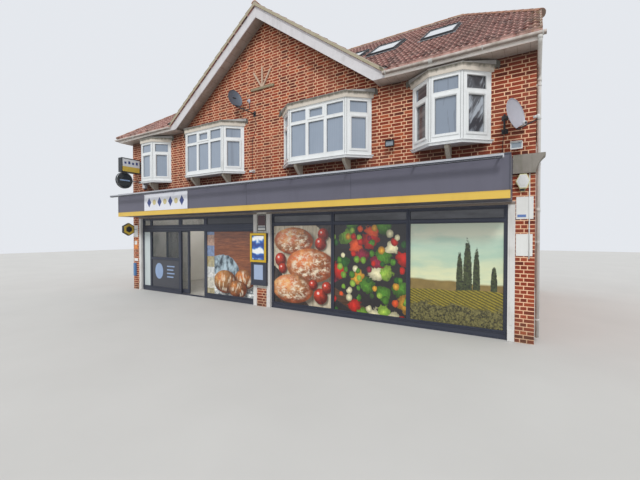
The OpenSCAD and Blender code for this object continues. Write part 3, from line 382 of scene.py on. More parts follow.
def frame_ring(bm, place, rect, width, d0, d1, chamfer=0.004, material=0):
    """A mitred frame whose outer edge is rect, with its front edges eased."""
    x0, x1, z0, z1 = rect
    flat = (place @ Matrix.Translation(((x0 + x1) / 2, d0, (z0 + z1) / 2))
            @ Matrix.Rotation(math.pi / 2, 4, "X") @ Matrix.Diagonal((x1 - x0, z1 - z0, 1, 1)))
    sheet = bmesh.ops.create_grid(bm, x_segments=1, y_segments=1, size=0.5, matrix=flat)["verts"]
    middle = sheet[0].link_faces[0]
    middle.material_index = material
    ring = bmesh.ops.inset_individual(bm, faces=[middle], thickness=width, use_even_offset=True)["faces"]
    bmesh.ops.delete(bm, geom=[middle], context="FACES_ONLY")
    made = bmesh.ops.extrude_face_region(bm, geom=ring)["geom"]
    front = [g for g in made if isinstance(g, bmesh.types.BMFace)]
    out = place.to_3x3() @ Y * (d1 - d0)
    bmesh.ops.translate(bm, vec=out, verts=[g for g in made if isinstance(g, bmesh.types.BMVert)])
    rims = [e for e in {e for f in front for e in f.edges} if sum(f in front for f in e.link_faces) == 1]
    bmesh.ops.bevel(bm, geom=rims, offset=chamfer, segments=1, profile=0.5, affect="EDGES", material=-1)


def sweep(bm, face, frames, material=0, smooth=False):
    """Carries a face through a row of frames and leaves a closed body behind it."""
    face.material_index = material
    for a, b in zip(frames, frames[1:]):
        made = bmesh.ops.extrude_face_region(bm, geom=[face, *face.edges, *face.verts])["geom"]
        face = next(g for g in made if isinstance(g, bmesh.types.BMFace))
        bmesh.ops.transform(bm, matrix=b @ a.inverted(), verts=face.verts)
        for side in {f for e in face.edges for f in e.link_faces} - {face}:
            side.smooth = smooth


def plate(bm, place, outline, d0, d1, material=0, ease=1):
    """A flat piece of any outline on a plane. Its front may be smaller by a share."""
    face = bm.faces.new([bm.verts.new(place @ at(x, d0, z)) for x, z in outline])
    front = place @ Matrix.Translation((0, d1 - d0, 0)) @ Matrix.Diagonal((ease, 1, ease, 1))
    sweep(bm, face, [place, front], material)


def prism(bm, a, b, out, up, points):
    """A section, given as (out, up) pairs, drawn from a to b."""
    face = bm.faces.new([bm.verts.new(a + out * u + up * v) for u, v in points])
    sweep(bm, face, [Matrix.Translation(a), Matrix.Translation(b)])


def tube(bm, path, radius, sides=12, material=0, smooth=True):
    """A round rod or pipe along a path, mitred at its bends."""
    steps = [(b - a).normalized() for a, b in zip(path, path[1:])]
    side = steps[0].orthogonal()
    frames = []
    for k, p in enumerate(path):
        before, after = steps[max(k - 1, 0)], steps[min(k, len(steps) - 1)]
        d = (before + after).normalized()
        side = (side - d * side.dot(d)).normalized()
        turn = Matrix((side, d.cross(side), d)).transposed()
        bend = after - before
        if bend.length > 1e-4:
            turn = Matrix.Scale(1 / max(0.5, d.dot(after)), 3, bend - d * bend.dot(d)) @ turn
        r = radius[k] if isinstance(radius, list) else radius
        ring = (turn @ Matrix.Diagonal((r, r, 1))).to_4x4()
        ring.translation = p
        frames.append(ring)
    made = bmesh.ops.create_circle(bm, cap_ends=True, segments=sides, radius=1, matrix=frames[0])
    sweep(bm, made["verts"][0].link_faces[0], frames, material, smooth)


def stub(bm, start, way, radius, sides=12, material=0, smooth=True):
    """A short round bar from a place, as far as a vector reaches."""
    tube(bm, [start, start + way], radius, sides, material, smooth)


def bent(points, radius, steps=5):
    """A path with its corners rounded."""
    path = [points[0]]
    for before, corner, after in zip(points, points[1:], points[2:]):
        start = corner + (before - corner).normalized() * radius
        end = corner + (after - corner).normalized() * radius
        for j in range(steps + 1):
            t = j / steps
            path.append(start * (1 - t) ** 2 + corner * 2 * t * (1 - t) + end * t ** 2)
    return path + [points[-1]]


def grown(rect, by):
    return rect[0] - by, rect[1] + by, rect[2] - by, rect[3] + by


def solids(node):
    """The low and high corner of each separate solid of a node."""
    bm = bmesh.new()
    bm.from_mesh(NODES[node].data)
    bmesh.ops.remove_doubles(bm, verts=bm.verts, dist=1e-5)
    left, boxes = set(bm.verts), []
    while left:
        stack, found = [left.pop()], []
        while stack:
            vert = stack.pop()
            found.append(vert.co.copy())
            near = {e.other_vert(vert) for e in vert.link_edges} & left
            left -= near
            stack.extend(near)
        boxes.append(([min(p[k] for p in found) for k in range(3)],
                      [max(p[k] for p in found) for k in range(3)]))
    bm.free()
    return sorted(boxes)


# Roof slopes, as planes whose out is proud of the slope and whose up climbs it

def slope(origin, along, uphill, pitch=PITCH):
    cos, sin = math.cos(pitch), math.sin(pitch)
    return plane(origin, along, Z * cos - uphill * sin, uphill * cos + Z * sin)


HALF_HIP_Y = (RIDGE_Z - HIP_Z) / math.tan(PITCH)
HALF_PITCH = math.atan2(RIDGE_Z - HIP_Z, RIGHT_X - RIDGE_RIGHT)
RAFTER = -EAVE_Y / math.cos(PITCH)
TILES_START = -math.ceil(-LEFT_X / TILE_W) * TILE_W
FRONT_SLOPE = slope(at(0, EAVE_Y, EAVE_Z), X, Y)
REAR_SLOPE = slope(at(RIGHT_X, -EAVE_Y, EAVE_Z), -X, -Y)
GABLE_SLOPES = {side: slope(at(side * GABLE_HALF, EAVE_Y if side > 0 else 0, EAVE_Z), Y * side, -X * side)
                for side in (-1, 1)}
# The roof's corners and the ends of its ridges in plan
FRONT_LEFT, REAR_LEFT, RIDGE_L = at(LEFT_X, EAVE_Y, 0), at(LEFT_X, -EAVE_Y, 0), at(RIDGE_LEFT, 0, 0)
FRONT_HIP, REAR_HIP = at(RIGHT_X, -HALF_HIP_Y, 0), at(RIGHT_X, HALF_HIP_Y, 0)
RIDGE_R = at(RIDGE_RIGHT, 0, 0)
GABLE_LEFT, GABLE_RIGHT = at(-GABLE_HALF, EAVE_Y, 0), at(GABLE_HALF, EAVE_Y, 0)
VALLEY_TOP = at(0, EAVE_Y + GABLE_HALF, 0)
VALLEY_EASE = 0.055


def slope_sheet(bm, place, width, length):
    """Courses of ribbed tiles over a rectangle of slope, each course lapping the one below."""
    steps = math.ceil(width / (RIB / 4))
    unit = Matrix.Translation((steps / 2, 1, 0)) @ Matrix.Diagonal((steps, 2, 1, 1))
    for course in range(math.ceil(length / GAUGE)):
        made = bmesh.ops.create_grid(bm, x_segments=steps, y_segments=2, size=0.5, matrix=unit)["verts"]
        for face in {f for v in made for f in v.link_faces}:
            face.smooth = face.calc_center_median().y > 1
        for vert in made:
            k, row = round(vert.co.x), round(vert.co.y)
            rib = RISE * (0, 0.3, 1, 0.3)[k % 4] if row else 0
            foot = min((course + row // 2) * GAUGE, length)
            vert.co = place @ at(min(k * RIB / 4, width), (0, NOSE, TAIL)[row] + rib, foot)
    # A crisp edge between each nose and the face behind it
    bmesh.ops.split_edges(bm, edges=[e for e in bm.edges if len({f.smooth for f in e.link_faces}) == 2])


def cut(bm, a, b, ease=0):
    """Removes what lies to the left of the way from a to b in plan."""
    left = Z.cross(b - a).normalized()
    bmesh.ops.bisect_plane(bm, geom=bm.verts[:] + bm.edges[:] + bm.faces[:], plane_co=a - left * ease,
                           plane_no=left, clear_outer=True)


def hole(bm, place, x0, x1, z0, z1):
    """Cuts a rectangular hole in a slope's tiles."""
    back = place.inverted()

    def within(margin):
        found = []
        for face in bm.faces:
            x, _, z = back @ face.calc_center_median()
            if x0 - margin < x < x1 + margin and z0 - margin < z < z1 + margin:
                found.append(face)
        return found

    for way, places in ((X, (x0, x1)), (Z, (z0, z1))):
        for reach in places:
            near = within(0.3)
            geom = near + list({e for f in near for e in f.edges}) + list({v for f in near for v in f.verts})
            bmesh.ops.bisect_plane(bm, geom=geom, plane_co=place @ (way * reach),
                                   plane_no=place.to_3x3() @ way)
    bmesh.ops.delete(bm, geom=within(0), context="FACES")


def roof_windows():
    """The roof windows' outlines on the street slope, as x0, x1 and up-slope z0, z1."""
    found = []
    for low, high in solids("roof_windows"):
        z0 = (low[1] - EAVE_Y + 0.07 * math.sin(PITCH)) / math.cos(PITCH)
        z1 = (high[2] - EAVE_Z - 0.07 * math.cos(PITCH)) / math.sin(PITCH)
        found.append((low[0], high[0], z0, z1))
    return found


WINDOWS = roof_windows()


def tile_sheets(front, gable, left_hip, half_hip):
    """Lays the tiles of each slope and cuts them along the hips and valleys."""
    sheets = [
        ("tiles_street_left", front, slope(at(TILES_START, EAVE_Y, EAVE_Z), X, Y), -TILES_START, RAFTER,
         [(FRONT_LEFT, RIDGE_L, 0), (VALLEY_TOP, GABLE_LEFT, VALLEY_EASE)]),
        ("tiles_street_right", front, FRONT_SLOPE, RIGHT_X, RAFTER,
         [(RIDGE_R, FRONT_HIP, 0), (GABLE_RIGHT, VALLEY_TOP, VALLEY_EASE)]),
        ("tiles_rear", front, REAR_SLOPE, RIGHT_X - LEFT_X, RAFTER,
         [(RIDGE_L, REAR_LEFT, 0), (REAR_HIP, RIDGE_R, 0)]),
        ("tiles_left_hip", left_hip, slope(at(LEFT_X, -EAVE_Y, EAVE_Z), -Y, X, LEFT_PITCH), -2 * EAVE_Y,
         (RIDGE_LEFT - LEFT_X) / math.cos(LEFT_PITCH),
         [(RIDGE_L, FRONT_LEFT, 0), (REAR_LEFT, RIDGE_L, 0)]),
        ("tiles_half_hip", half_hip, slope(at(RIGHT_X, -HALF_HIP_Y, HIP_Z), Y, -X, HALF_PITCH),
         2 * HALF_HIP_Y, (RIGHT_X - RIDGE_RIGHT) / math.cos(HALF_PITCH),
         [(FRONT_HIP, RIDGE_R, 0), (RIDGE_R, REAR_HIP, 0)]),
        ("tiles_gable_left", gable, GABLE_SLOPES[-1], -EAVE_Y, GABLE_HALF / math.cos(PITCH),
         [(GABLE_LEFT, VALLEY_TOP, VALLEY_EASE)]),
        ("tiles_gable_right", gable, GABLE_SLOPES[1], -EAVE_Y, GABLE_HALF / math.cos(PITCH),
         [(VALLEY_TOP, GABLE_RIGHT, VALLEY_EASE)])]
    for name, clay, place, width, length, cuts in sheets:
        bm = bmesh.new()
        slope_sheet(bm, place, width, length)
        for a, b, ease in cuts:
            cut(bm, a, b, ease)
        if name == "tiles_street_right":
            for x0, x1, z0, z1 in WINDOWS:
                hole(bm, place, x0 - 0.035, x1 + 0.035, z0 - 0.01, z1 + 0.035)
        bmesh.ops.dissolve_degenerate(bm, edges=bm.edges, dist=1e-4)
        piece(name, bm, clay, closed=False)


def verges(mortar, lead):
    """Mortar bedding under the tiles' ends along the gable and the right end, and the valleys' lead."""
    bed, sheets = bmesh.new(), bmesh.new()
    section = ((0, 0), (0.034, 0), (0.034, 0.019), (0.004, 0.021))
    for side in (-1, 1):
        foot = at(side * GABLE_HALF, EAVE_Y, EAVE_Z)
        proud = GABLE_SLOPES[side].col[1].to_3d()
        prism(bed, foot, at(0, EAVE_Y, GABLE_Z), Y, proud, section)
        valley = VALLEY_TOP + Z * GABLE_Z - foot
        for normal, own in ((FRONT_SLOPE.col[1].to_3d(), X * side), (proud, -X * side)):
            out = valley.normalized().cross(normal)
            out *= 1 if out.dot(own) > 0 else -1
            slab(sheets, plane(foot, valley.normalized(), normal, out), 0, valley.length, -0.001, 0.085,
                 0.001, 0.003)
    for place, y in ((FRONT_SLOPE, EAVE_Y), (REAR_SLOPE, -EAVE_Y)):
        foot = at(RIGHT_X, y, EAVE_Z)
        climb = place.col[2].to_3d() * (HIP_Z - EAVE_Z) / math.sin(PITCH)
        prism(bed, foot, foot + climb, -X, place.col[1].to_3d(), section)
    piece("verge_bedding", bed, mortar)
    piece("valley_lead", sheets, lead)


CAP_R, CAP_WIDE, CAP_T = 0.094, 0.10058, 0.012


def cap_run(bm, a, b, drop, length, spread):
    """Lapped half-round tiles from a to b. Each is wider at its lower end."""
    along = (b - a).normalized()
    side = along.cross(Z).normalized()
    up = side.cross(along)
    count = round((b - a).length / length)
    step = (b - a).length / count
    edge = up * math.cos(spread) - side * math.sin(spread)
    for k in range(count):
        foot = a + along * (k * step - 0.012) - up * drop
        section = ((0, CAP_WIDE), (0, CAP_WIDE - CAP_T), (step + 0.02, CAP_R - CAP_T), (step + 0.02, CAP_R))
        face = bm.faces.new([bm.verts.new(foot + along * d + edge * r) for d, r in section])
        bmesh.ops.spin(bm, geom=[face, *face.edges, *face.verts], cent=foot, axis=along, angle=2 * spread,
                       steps=14, use_merge=False, use_duplicate=False)
    axis = a - up * drop
    for face in bm.faces:
        if all(CAP_R - 0.001 < (v.co - axis).cross(along).length < CAP_WIDE + 0.001 for v in face.verts):
            face.smooth = True


def ridges(ridge_clay, hip_clay):
    bm = bmesh.new()
    for a, b in ((RIDGE_L + Z * RIDGE_Z, RIDGE_R + Z * RIDGE_Z),
                 (at(0, EAVE_Y, GABLE_Z), VALLEY_TOP + at(0, 0.06, GABLE_Z))):
        cap_run(bm, a, b, 0.045, 0.4, math.radians(66))
    piece("ridge_tile_caps", bm, ridge_clay)
    bm = bmesh.new()
    for a, z, b in ((FRONT_LEFT, EAVE_Z, RIDGE_L), (REAR_LEFT, EAVE_Z, RIDGE_L),
                    (FRONT_HIP, HIP_Z, RIDGE_R), (REAR_HIP, HIP_Z, RIDGE_R)):
        cap_run(bm, a + Z * z, b + Z * RIDGE_Z, 0.05, 0.36, math.radians(62))
    piece("hip_tile_caps", bm, hip_clay)


def window_flashings(dark, lead):
    """Aluminium skirts and raised sashes round the roof windows, and lead aprons below them."""
    bm = bmesh.new()
    for x0, x1, z0, z1 in WINDOWS:
        for a, b, c, d in ((x0 - 0.04, x0, z0, z1 + 0.04), (x1, x1 + 0.04, z0, z1 + 0.04),
                           (x0, x1, z1, z1 + 0.04)):
            slab(bm, FRONT_SLOPE, a, b, c, d, 0.001, 0.034)
        slab(bm, FRONT_SLOPE, x0 - 0.06, x1 + 0.06, z0 - 0.12, z0 - 0.005, 0.036, 0.04, 1)
        frame_ring(bm, FRONT_SLOPE, grown((x0, x1, z0, z1), -0.012), 0.022, 0.07, 0.083, 0.001)
    piece("roof_window_flashings", bm, [dark, lead])


# Bay windows

def bay_corners(cx, w):
    """The corners of a bay's plan from left to right, as planes of (out, height) points."""
    corners = []
    for side, foot in ((-1, True), (-1, False), (1, False), (1, True)):
        base = at(cx + side * w / 2, FRONT_Y, 0)
        way = X * side / math.sin(BAY_ANGLE)
        if not foot:
            base -= at(side * BAY_SPLAY, BAY_OUT, 0)
            way = X * side * math.tan(BAY_ANGLE / 2) - Y
        corners.append(plane(base, way, way.cross(Z)))
    return corners


def carried_round(bm, corners, section):
    """A closed section of (out, height) points carried round a bay's three faces."""
    face = bm.faces.new([bm.verts.new(corners[0] @ at(out, 0, z)) for out, z in section])
    sweep(bm, face, corners)


def bay_faces(cx, w, lights):
    """The three flat faces as (plane, width, lights, side post, sash panes)."""
    c, s = BAY_SPLAY / BAY_FACE, BAY_OUT / BAY_FACE
    knee = FRONT_Y - BAY_OUT
    return ((street(knee, cx - w / 2 + BAY_SPLAY), w - 2 * BAY_SPLAY, lights, BAY_RAIL,
             [(1, 1)] if lights == 3 else [(0, 0)]),
            (plane(at(cx - w / 2, FRONT_Y, 0), at(c, -s, 0), at(-s, -c, 0)), BAY_FACE, 1,
             1.5 * BAY_RAIL, [(0, 0)]),
            (plane(at(cx + w / 2 - BAY_SPLAY, knee, 0), at(c, s, 0), at(s, -c, 0)), BAY_FACE, 1,
             1.5 * BAY_RAIL, [(0, 0)]))


def bay_panes(w, lights, post):
    step = (w - 2 * post + BAY_RAIL) / lights
    low = BAY_H - BAY_TOP_PANE - 3 * BAY_RAIL
    rows = ((1.5 * BAY_RAIL, low - BAY_RAIL / 2), (BAY_H - BAY_RAIL - BAY_TOP_PANE, BAY_TOP_PANE))
    return [(k, r, (post + k * step, post + (k + 1) * step - BAY_RAIL, BAY_Z + foot, BAY_Z + foot + tall))
            for k in range(lights) for r, (foot, tall) in enumerate(rows)]


def bay_details(white, beige, rubber, lead, stained):
    for name, cx, w, lights in BAYS:
        beads, ribs, head, nose = [bmesh.new() for _ in range(4)]
        for place, width, count, post, sashes in bay_faces(cx, w, lights):
            for k, r, rect in bay_panes(width, count, post):
                if (k, r) in sashes:
                    frame_ring(beads, place, grown(rect, 0.01), 0.01 + BAY_SASH, -0.002, 0.016, 0.005)
                    rect = grown(rect, -BAY_SASH)
                    frame_ring(beads, place, rect, 0.012, -0.036, 0.01, 0.005)
                else:
                    frame_ring(beads, place, grown(rect, 0.006), 0.016, -0.036, 0.004, 0.005)
                frame_ring(beads, place, grown(rect, -0.009), 0.006, -0.037, -0.03, 0.001, 1)
            # Two upright ribs round each corner post, with a dark joint between them
            for x, way in ((0, 1), (width, -1)):
                spot = place @ Matrix.Translation((x + way * 0.012, 0, 0))
                slab(ribs, spot, -0.008, 0.008, BAY_Z + 0.01, BAY_TOP - 0.134, -0.001, 0.006, 0, 0.002)
                if (place @ at(x, 0, 0)).y < FRONT_Y - 0.01:
                    spot = place @ Matrix.Translation((x + way * 0.0265, 0, 0))
                    slab(ribs, spot, -0.0025, 0.0025, BAY_Z + 0.01, BAY_TOP - 0.134, -0.001, 0.001, 1)
        corners = bay_corners(cx, w)
        for bm, z, section in (
                (head, BAY_TOP - 0.132, ((0.02, 0), (0.034, 0), (0.034, 0.085), (0.04, 0.09),
                                         (0.046, 0.104), (0.056, 0.112), (0.058, 0.135), (0.02, 0.138))),
                (nose, BAY_Z, ((0, -0.004), (0, 0.006), (0.012, 0.004), (0.034, -0.006),
                               (0.038, -0.014), (0.036, -0.024), (0.022, -0.028), (0.016, -0.028),
                               (0.016, -0.01))),
                (nose, BAY_Z, ((-0.03, -0.052), (-0.03, -0.075), (0.008, -0.075), (0.014, -0.07),
                               (0.014, -0.052)))):
            carried_round(bm, corners, [(out, z + rise) for out, rise in section])
        piece(name + "_beads", beads, [white, rubber])
        piece(name + "_post_ribs", ribs, [white, rubber])
        piece(name + "_head_board", head, beige, bevel=0.002)
        piece(name + "_sill_nose", nose, white, bevel=0.001)
    # Ragged lead against the wall beside each bay's head, and welts on the lead roofs
    ragged, welts = bmesh.new(), bmesh.new()
    steps = 7
    for _, cx, w, lights in BAYS:
        corners = bay_corners(cx, w)
        rim = [corner @ at(BAY_LIP + 0.014, 0, BAY_TOP + 0.008) for corner in corners]
        tube(welts, rim, 0.009, 8)
        for side, knee in ((-1, rim[1]), (1, rim[2])):
            low = BAY_TOP - 0.05 - RNG.random() * 0.02
            top, bottom = [], []
            for k in range(steps + 1):
                t = k / steps
                x = cx + side * (w / 2 + 0.05 + 0.1 * t)
                top.append((x, SOFFIT_Z - 0.004 - 0.05 * t ** 2))
                bottom.append((x, low - 0.03 * math.sin(k * 1.9 + cx) - 0.02 * t))
            plate(ragged, STREET, top + bottom[::-1], -0.001, 0.007)
            head = at(cx + side * (w / 2 + 3 * BAY_LIP - BAY_SPLAY * 0.85), FRONT_Y - 0.02, BAY_TOP + 0.078)
            tube(welts, [knee + Z * 0.002, head], 0.009, 8)
        if lights == 3:
            tube(welts, [at(cx, FRONT_Y - BAY_OUT - BAY_LIP - 0.01, BAY_TOP + 0.01),
                         at(cx, FRONT_Y - 0.02, BAY_TOP + 0.079)], 0.009, 8)
    piece("bay_flashings", ragged, stained)
    piece("bay_roof_welts", welts, lead)


# Shop fronts

def panes_of(node):
    return [(low[0], high[0], low[2], high[2]) for low, high in solids(node)]


SHOP = street(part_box("left_shopfront")[0][1])
SHOP_BACK = rear(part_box("left_shopfront")[1][1])
SURROUND = street(-3.765)
LEFT_PANES, RIGHT_PANES = panes_of("left_shop_glass"), panes_of("right_shop_glass")
DOORWAY = (-3.68, -2.53)
# The two timber surrounds, from post to post
SURROUNDS = ((-5.93, -0.3), (0.056, 5.99))


def shop_details(slate, rubber, steel, timber, strip):
    for name, panes in (("left_shop_beads", LEFT_PANES), ("right_shop_beads", RIGHT_PANES)):
        bm = bmesh.new()
        for rect in panes:
            frame_ring(bm, SHOP, grown(rect, 0.004), 0.022, -0.021, 0.006, 0.005)
            frame_ring(bm, SHOP, grown(rect, -0.016), 0.007, -0.021, -0.014, 0.002, 1)
            back = (-rect[1], -rect[0], rect[2], rect[3])
            frame_ring(bm, SHOP_BACK, grown(back, 0.004), 0.018, -0.029, 0.004, 0.004)
        piece(name, bm, [slate, rubber])
    # Cill nosings, mullion cover strips and the head of the left front
    bm = bmesh.new()
    left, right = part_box("left_shopfront"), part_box("right_shopfront")
    for x0, x1 in ((left[0][0], DOORWAY[0]), (DOORWAY[1], left[1][0]), (right[0][0], right[1][0])):
        slab(bm, SHOP, x0 + 0.002, x1 - 0.002, 0.112, 0.128, -0.002, 0.022, 0, 0.003)
        slab(bm, SHOP, x0 + 0.002, x1 - 0.002, 0.004, 0.03, -0.002, 0.012, 0, 0.003)
    for x0, _, z0, _ in RIGHT_PANES:
        if z0 > 1 and x0 > 1:
            slab(bm, SHOP, x0 - 0.032, x0 - 0.018, 0.13, SHOP_HEAD - 0.06, -0.002, 0.01, 0, 0.003)
    slab(bm, SHOP, LEFT_PANES[0][0] - 0.04, left[1][0] - 0.01, 2.16, 2.23, -0.002, 0.012, 0, 0.004)
    piece("shopfront_trims", bm, slate)
    # The doorway's threshold with its ribs
    bm = bmesh.new()
    slab(bm, SHOP, DOORWAY[0] + 0.012, DOORWAY[1] - 0.012, 0, 0.036, -0.058, -0.002, 0, 0.004)
    for k in range(5):
        slab(bm, SHOP, DOORWAY[0] + 0.02, DOORWAY[1] - 0.02, 0.036, 0.04, -0.054 + k * 0.01,
             -0.05 + k * 0.01)
    piece("threshold", bm, steel)
    # White timber: beads and plinths on the posts, under a painted head strip
    posts, heads = bmesh.new(), bmesh.new()
    for x0, x1 in SURROUNDS:
        for x in (x0, x1 - 0.12):
            slab(posts, SURROUND, x + 0.03, x + 0.09, 0.3, 2.44, -0.001, 0.006, 0, 0.003)
            slab(posts, SURROUND, x, x + 0.12, 0.002, 0.22, -0.001, 0.01, 0, 0.004)
        slab(heads, SURROUND, x0, x1, 2.552, 2.6, -0.001, 0.008, 0, 0.002)
    piece("post_mouldings", posts, timber)
    piece("head_strips", heads, strip)
    # The door's beads and its brush seal, and its pull inside
    (_, front, _), (edge, back, _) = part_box("sliding_door")
    rect = panes_of("door_glass")[0]
    place = street(front)
    bm = bmesh.new()
    frame_ring(bm, place, grown(rect, 0.004), 0.02, -0.016, 0.004, 0.003)
    frame_ring(bm, place, grown(rect, -0.014), 0.006, -0.016, -0.01, 0.002, 1)
    slab(bm, place, edge - 0.003, edge + 0.004, 0.06, 2.08, -0.034, -0.012, 1, 0.001)
    piece("door_beads", bm, [slate, rubber], "shop_door")
    bm = bmesh.new()
    pull = [at(edge - 0.03, back + out, z) for out, z in ((-0.004, 0.92), (0.03, 0.92),
                                                           (0.03, 1.28), (-0.004, 1.28))]
    tube(bm, bent(pull, 0.016), 0.007, 12)
    piece("door_pull", bm, steel, "shop_door")


# Fascia

def evenly(low, high, count, margin=0):
    """Places spread evenly between two ends, both counted."""
    return [low + margin + (high - low - 2 * margin) * k / (count - 1) for k in range(count)]


def fascia_details(trim, yellow, white, motif):
    (x0, y, z0), (x1, _, z1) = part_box("fascia")
    (left, front, foot), (right, _, top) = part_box("sign_panel")
    face = street(y)
    bm = bmesh.new()
    slab(bm, face, x0 - 0.006, x1 + 0.006, z1 - 0.028, z1 + 0.004, -0.01, 0.012, 0, 0.003)
    for x in (x0 - 0.006, x1 - 0.016):
        slab(bm, face, x, x + 0.022, z0 + 0.142, z1 - 0.028, -0.01, 0.009, 0, 0.002)
    for x in evenly(x0, x1, 5)[1:-1]:
        if not left < x < right:
            slab(bm, face, x - 0.004, x + 0.004, z0 + 0.145, z1 - 0.03, -0.004, 0.0025)
    piece("fascia_trims", bm, trim)
    (x0, y, z0), (x1, _, z1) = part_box("fascia_band")
    place = street(y)
    bm = bmesh.new()
    slab(bm, place, x0, x1, z1 - 0.01, z1, -0.01, 0.004, 0, 0.002)
    slab(bm, place, x0, x1, z0, z0 + 0.012, -0.01, 0.005, 0, 0.002)
    for x in evenly(x0, x1, 13, 0.12):
        for z in (z0 + 0.03, z1 - 0.03):
            stub(bm, at(x, y + 0.002, z), -Y * 0.005, 0.006, 10)
    piece("band_edges", bm, yellow)
    bm = bmesh.new()
    place = street(front)
    frame_ring(bm, place, (left, right, foot, top), 0.018, -0.011, 0.006)
    piece("panel_rim", bm, white)
    # A plain row of lozenges and rounds along the panel
    bm = bmesh.new()
    mid = (foot + top) / 2
    for k, x in enumerate(evenly(left, right, 7, 0.26)):
        if k % 2:
            stub(bm, at(x, front + 0.002, mid), -Y * 0.005, 0.085, 40, 1, False)
        else:
            plate(bm, place, ((x - 0.105, mid), (x, mid - 0.15), (x + 0.105, mid), (x, mid + 0.15)),
                  -0.002, 0.003)
    piece("panel_pattern", bm, motif)


def trough_details(alloy, lens):
    (x0, y, z0), (x1, _, z1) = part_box("light_trough")
    place = street(y)
    bm = bmesh.new()
    slab(bm, place, x0 - 0.004, x1 + 0.004, z1 - 0.014, z1 + 0.003, -0.064, 0.005, 0, 0.002)
    slab(bm, place, x0 - 0.004, x0 + 0.012, z0, z1, -0.064, 0.003, 0, 0.001)
    slab(bm, place, x1 - 0.012, x1 + 0.004, z1 - 0.06, z1, -0.064, 0.003, 0, 0.001)
    for x in evenly(x0, x1, 6)[1:-1]:
        slab(bm, place, x - 0.02, x + 0.02, z1 - 0.06, z1, -0.062, 0.002, 0, 0.001)
    piece("trough_edges", bm, alloy)
    bm = bmesh.new()
    slab(bm, place, x0 + 0.02, x1 - 0.02, z1 - 0.068, z1 - 0.058, -0.052, -0.01, 0, 0.002)
    slab(bm, place, x0 + 0.013, x1 - 0.013, z0 + 0.002, z1 - 0.03, -0.004, 0.0035, 0, 0.001)
    piece("trough_lens", bm, lens)


# Rainwater goods

GUTTER_R, PIPE_R = 0.056, 0.034
GUTTER_LOW, GUTTER_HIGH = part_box("gutters")
SWAN_Z = SOFFIT_Z - 6 * GUTTER_R


def gutter_brackets(plastic):
    """Straps round the gutters, with wider unions between their lengths."""
    bm = bmesh.new()
    y, z, left_line = GUTTER_R - BOARD_Y, GUTTER_HIGH[2], GUTTER_LOW[0] + GUTTER_R
    arc = [math.pi + math.pi * k / 12 for k in range(13)]
    runs = []
    for x0, x1, side in ((GUTTER_LOW[0] + 0.15, -GABLE_HALF - 0.02, -1),
                         (GABLE_HALF + 0.04, GUTTER_HIGH[0] - 0.05, -1),
                         (GUTTER_LOW[0] + 0.15, GUTTER_HIGH[0] - 0.05, 1)):
        count = max(2, round((x1 - x0) / 0.85)) + 1
        runs.append(([at(x, side * y, z) for x in evenly(x0, x1, count)], X, Y * -side, 0.0055))
    runs.append(([at(left_line, -3.7 + k * 0.925, z) for k in range(9)], Y, -X, 0.0045))
    for places, along, out, thick in runs:
        for k, place in enumerate(places):
            half, outer = (0.0375, GUTTER_R + thick) if k % 3 == 1 else (0.011, GUTTER_R + 0.0042)
            section = [(math.cos(a) * outer, math.sin(a) * outer + 0.001) for a in arc]
            inner = GUTTER_R + 0.0008
            section += [(math.cos(a) * inner, math.sin(a) * inner + 0.001) for a in arc[::-1]]
            prism(bm, place - along * half, place + along * half, out, Z, section)
    piece("gutter_brackets", bm, plastic)


def downpipes(pipe):
    """Round pipes with their swan necks, sockets and straps."""
    bm = bmesh.new()
    x = WALL_X + 0.012 + PIPE_R
    wall_y, gutter_y = REAR_Y - WALL_T - 2 * PIPE_R, GUTTER_R - BOARD_Y
    outlet = EAVE_Z - 0.05 / math.cos(PITCH) - 0.005 - GUTTER_R
    for side, py, ox, oy in ((1, -wall_y, x, -gutter_y), (1, wall_y, x, gutter_y),
                             (-1, wall_y, GUTTER_LOW[0] + GUTTER_R, wall_y)):
        foot, head = at(side * x, py, 0), at(ox, oy, outlet)
        tube(bm, bent([foot + Z * 0.068, foot + Z * SWAN_Z, head - Z * 0.084, head + Z * 0.006], 0.055, 6),
             PIPE_R, 20)
        stub(bm, foot + Z * (SWAN_Z - 0.13), Z * 0.07, 0.0395, 20)
        stub(bm, foot + Z * 2.42, Z * 0.07, 0.0395, 20)
        stub(bm, head - Z * 0.05, Z * 0.054, 0.04, 20)
        wall = plane(at(side * WALL_X, py, 0), Y, X * side)
        for z in evenly(0.4, SWAN_Z - 0.2, 4):
            stub(bm, foot + Z * (z - 0.012), Z * 0.024, 0.0385, 20)
            slab(bm, wall, -0.045, 0.045, z - 0.018, z + 0.018, -0.001, 0.012, 0, 0.001)
    piece("downpipe_runs", bm, pipe, replaces=("downpipes",))


# Dishes

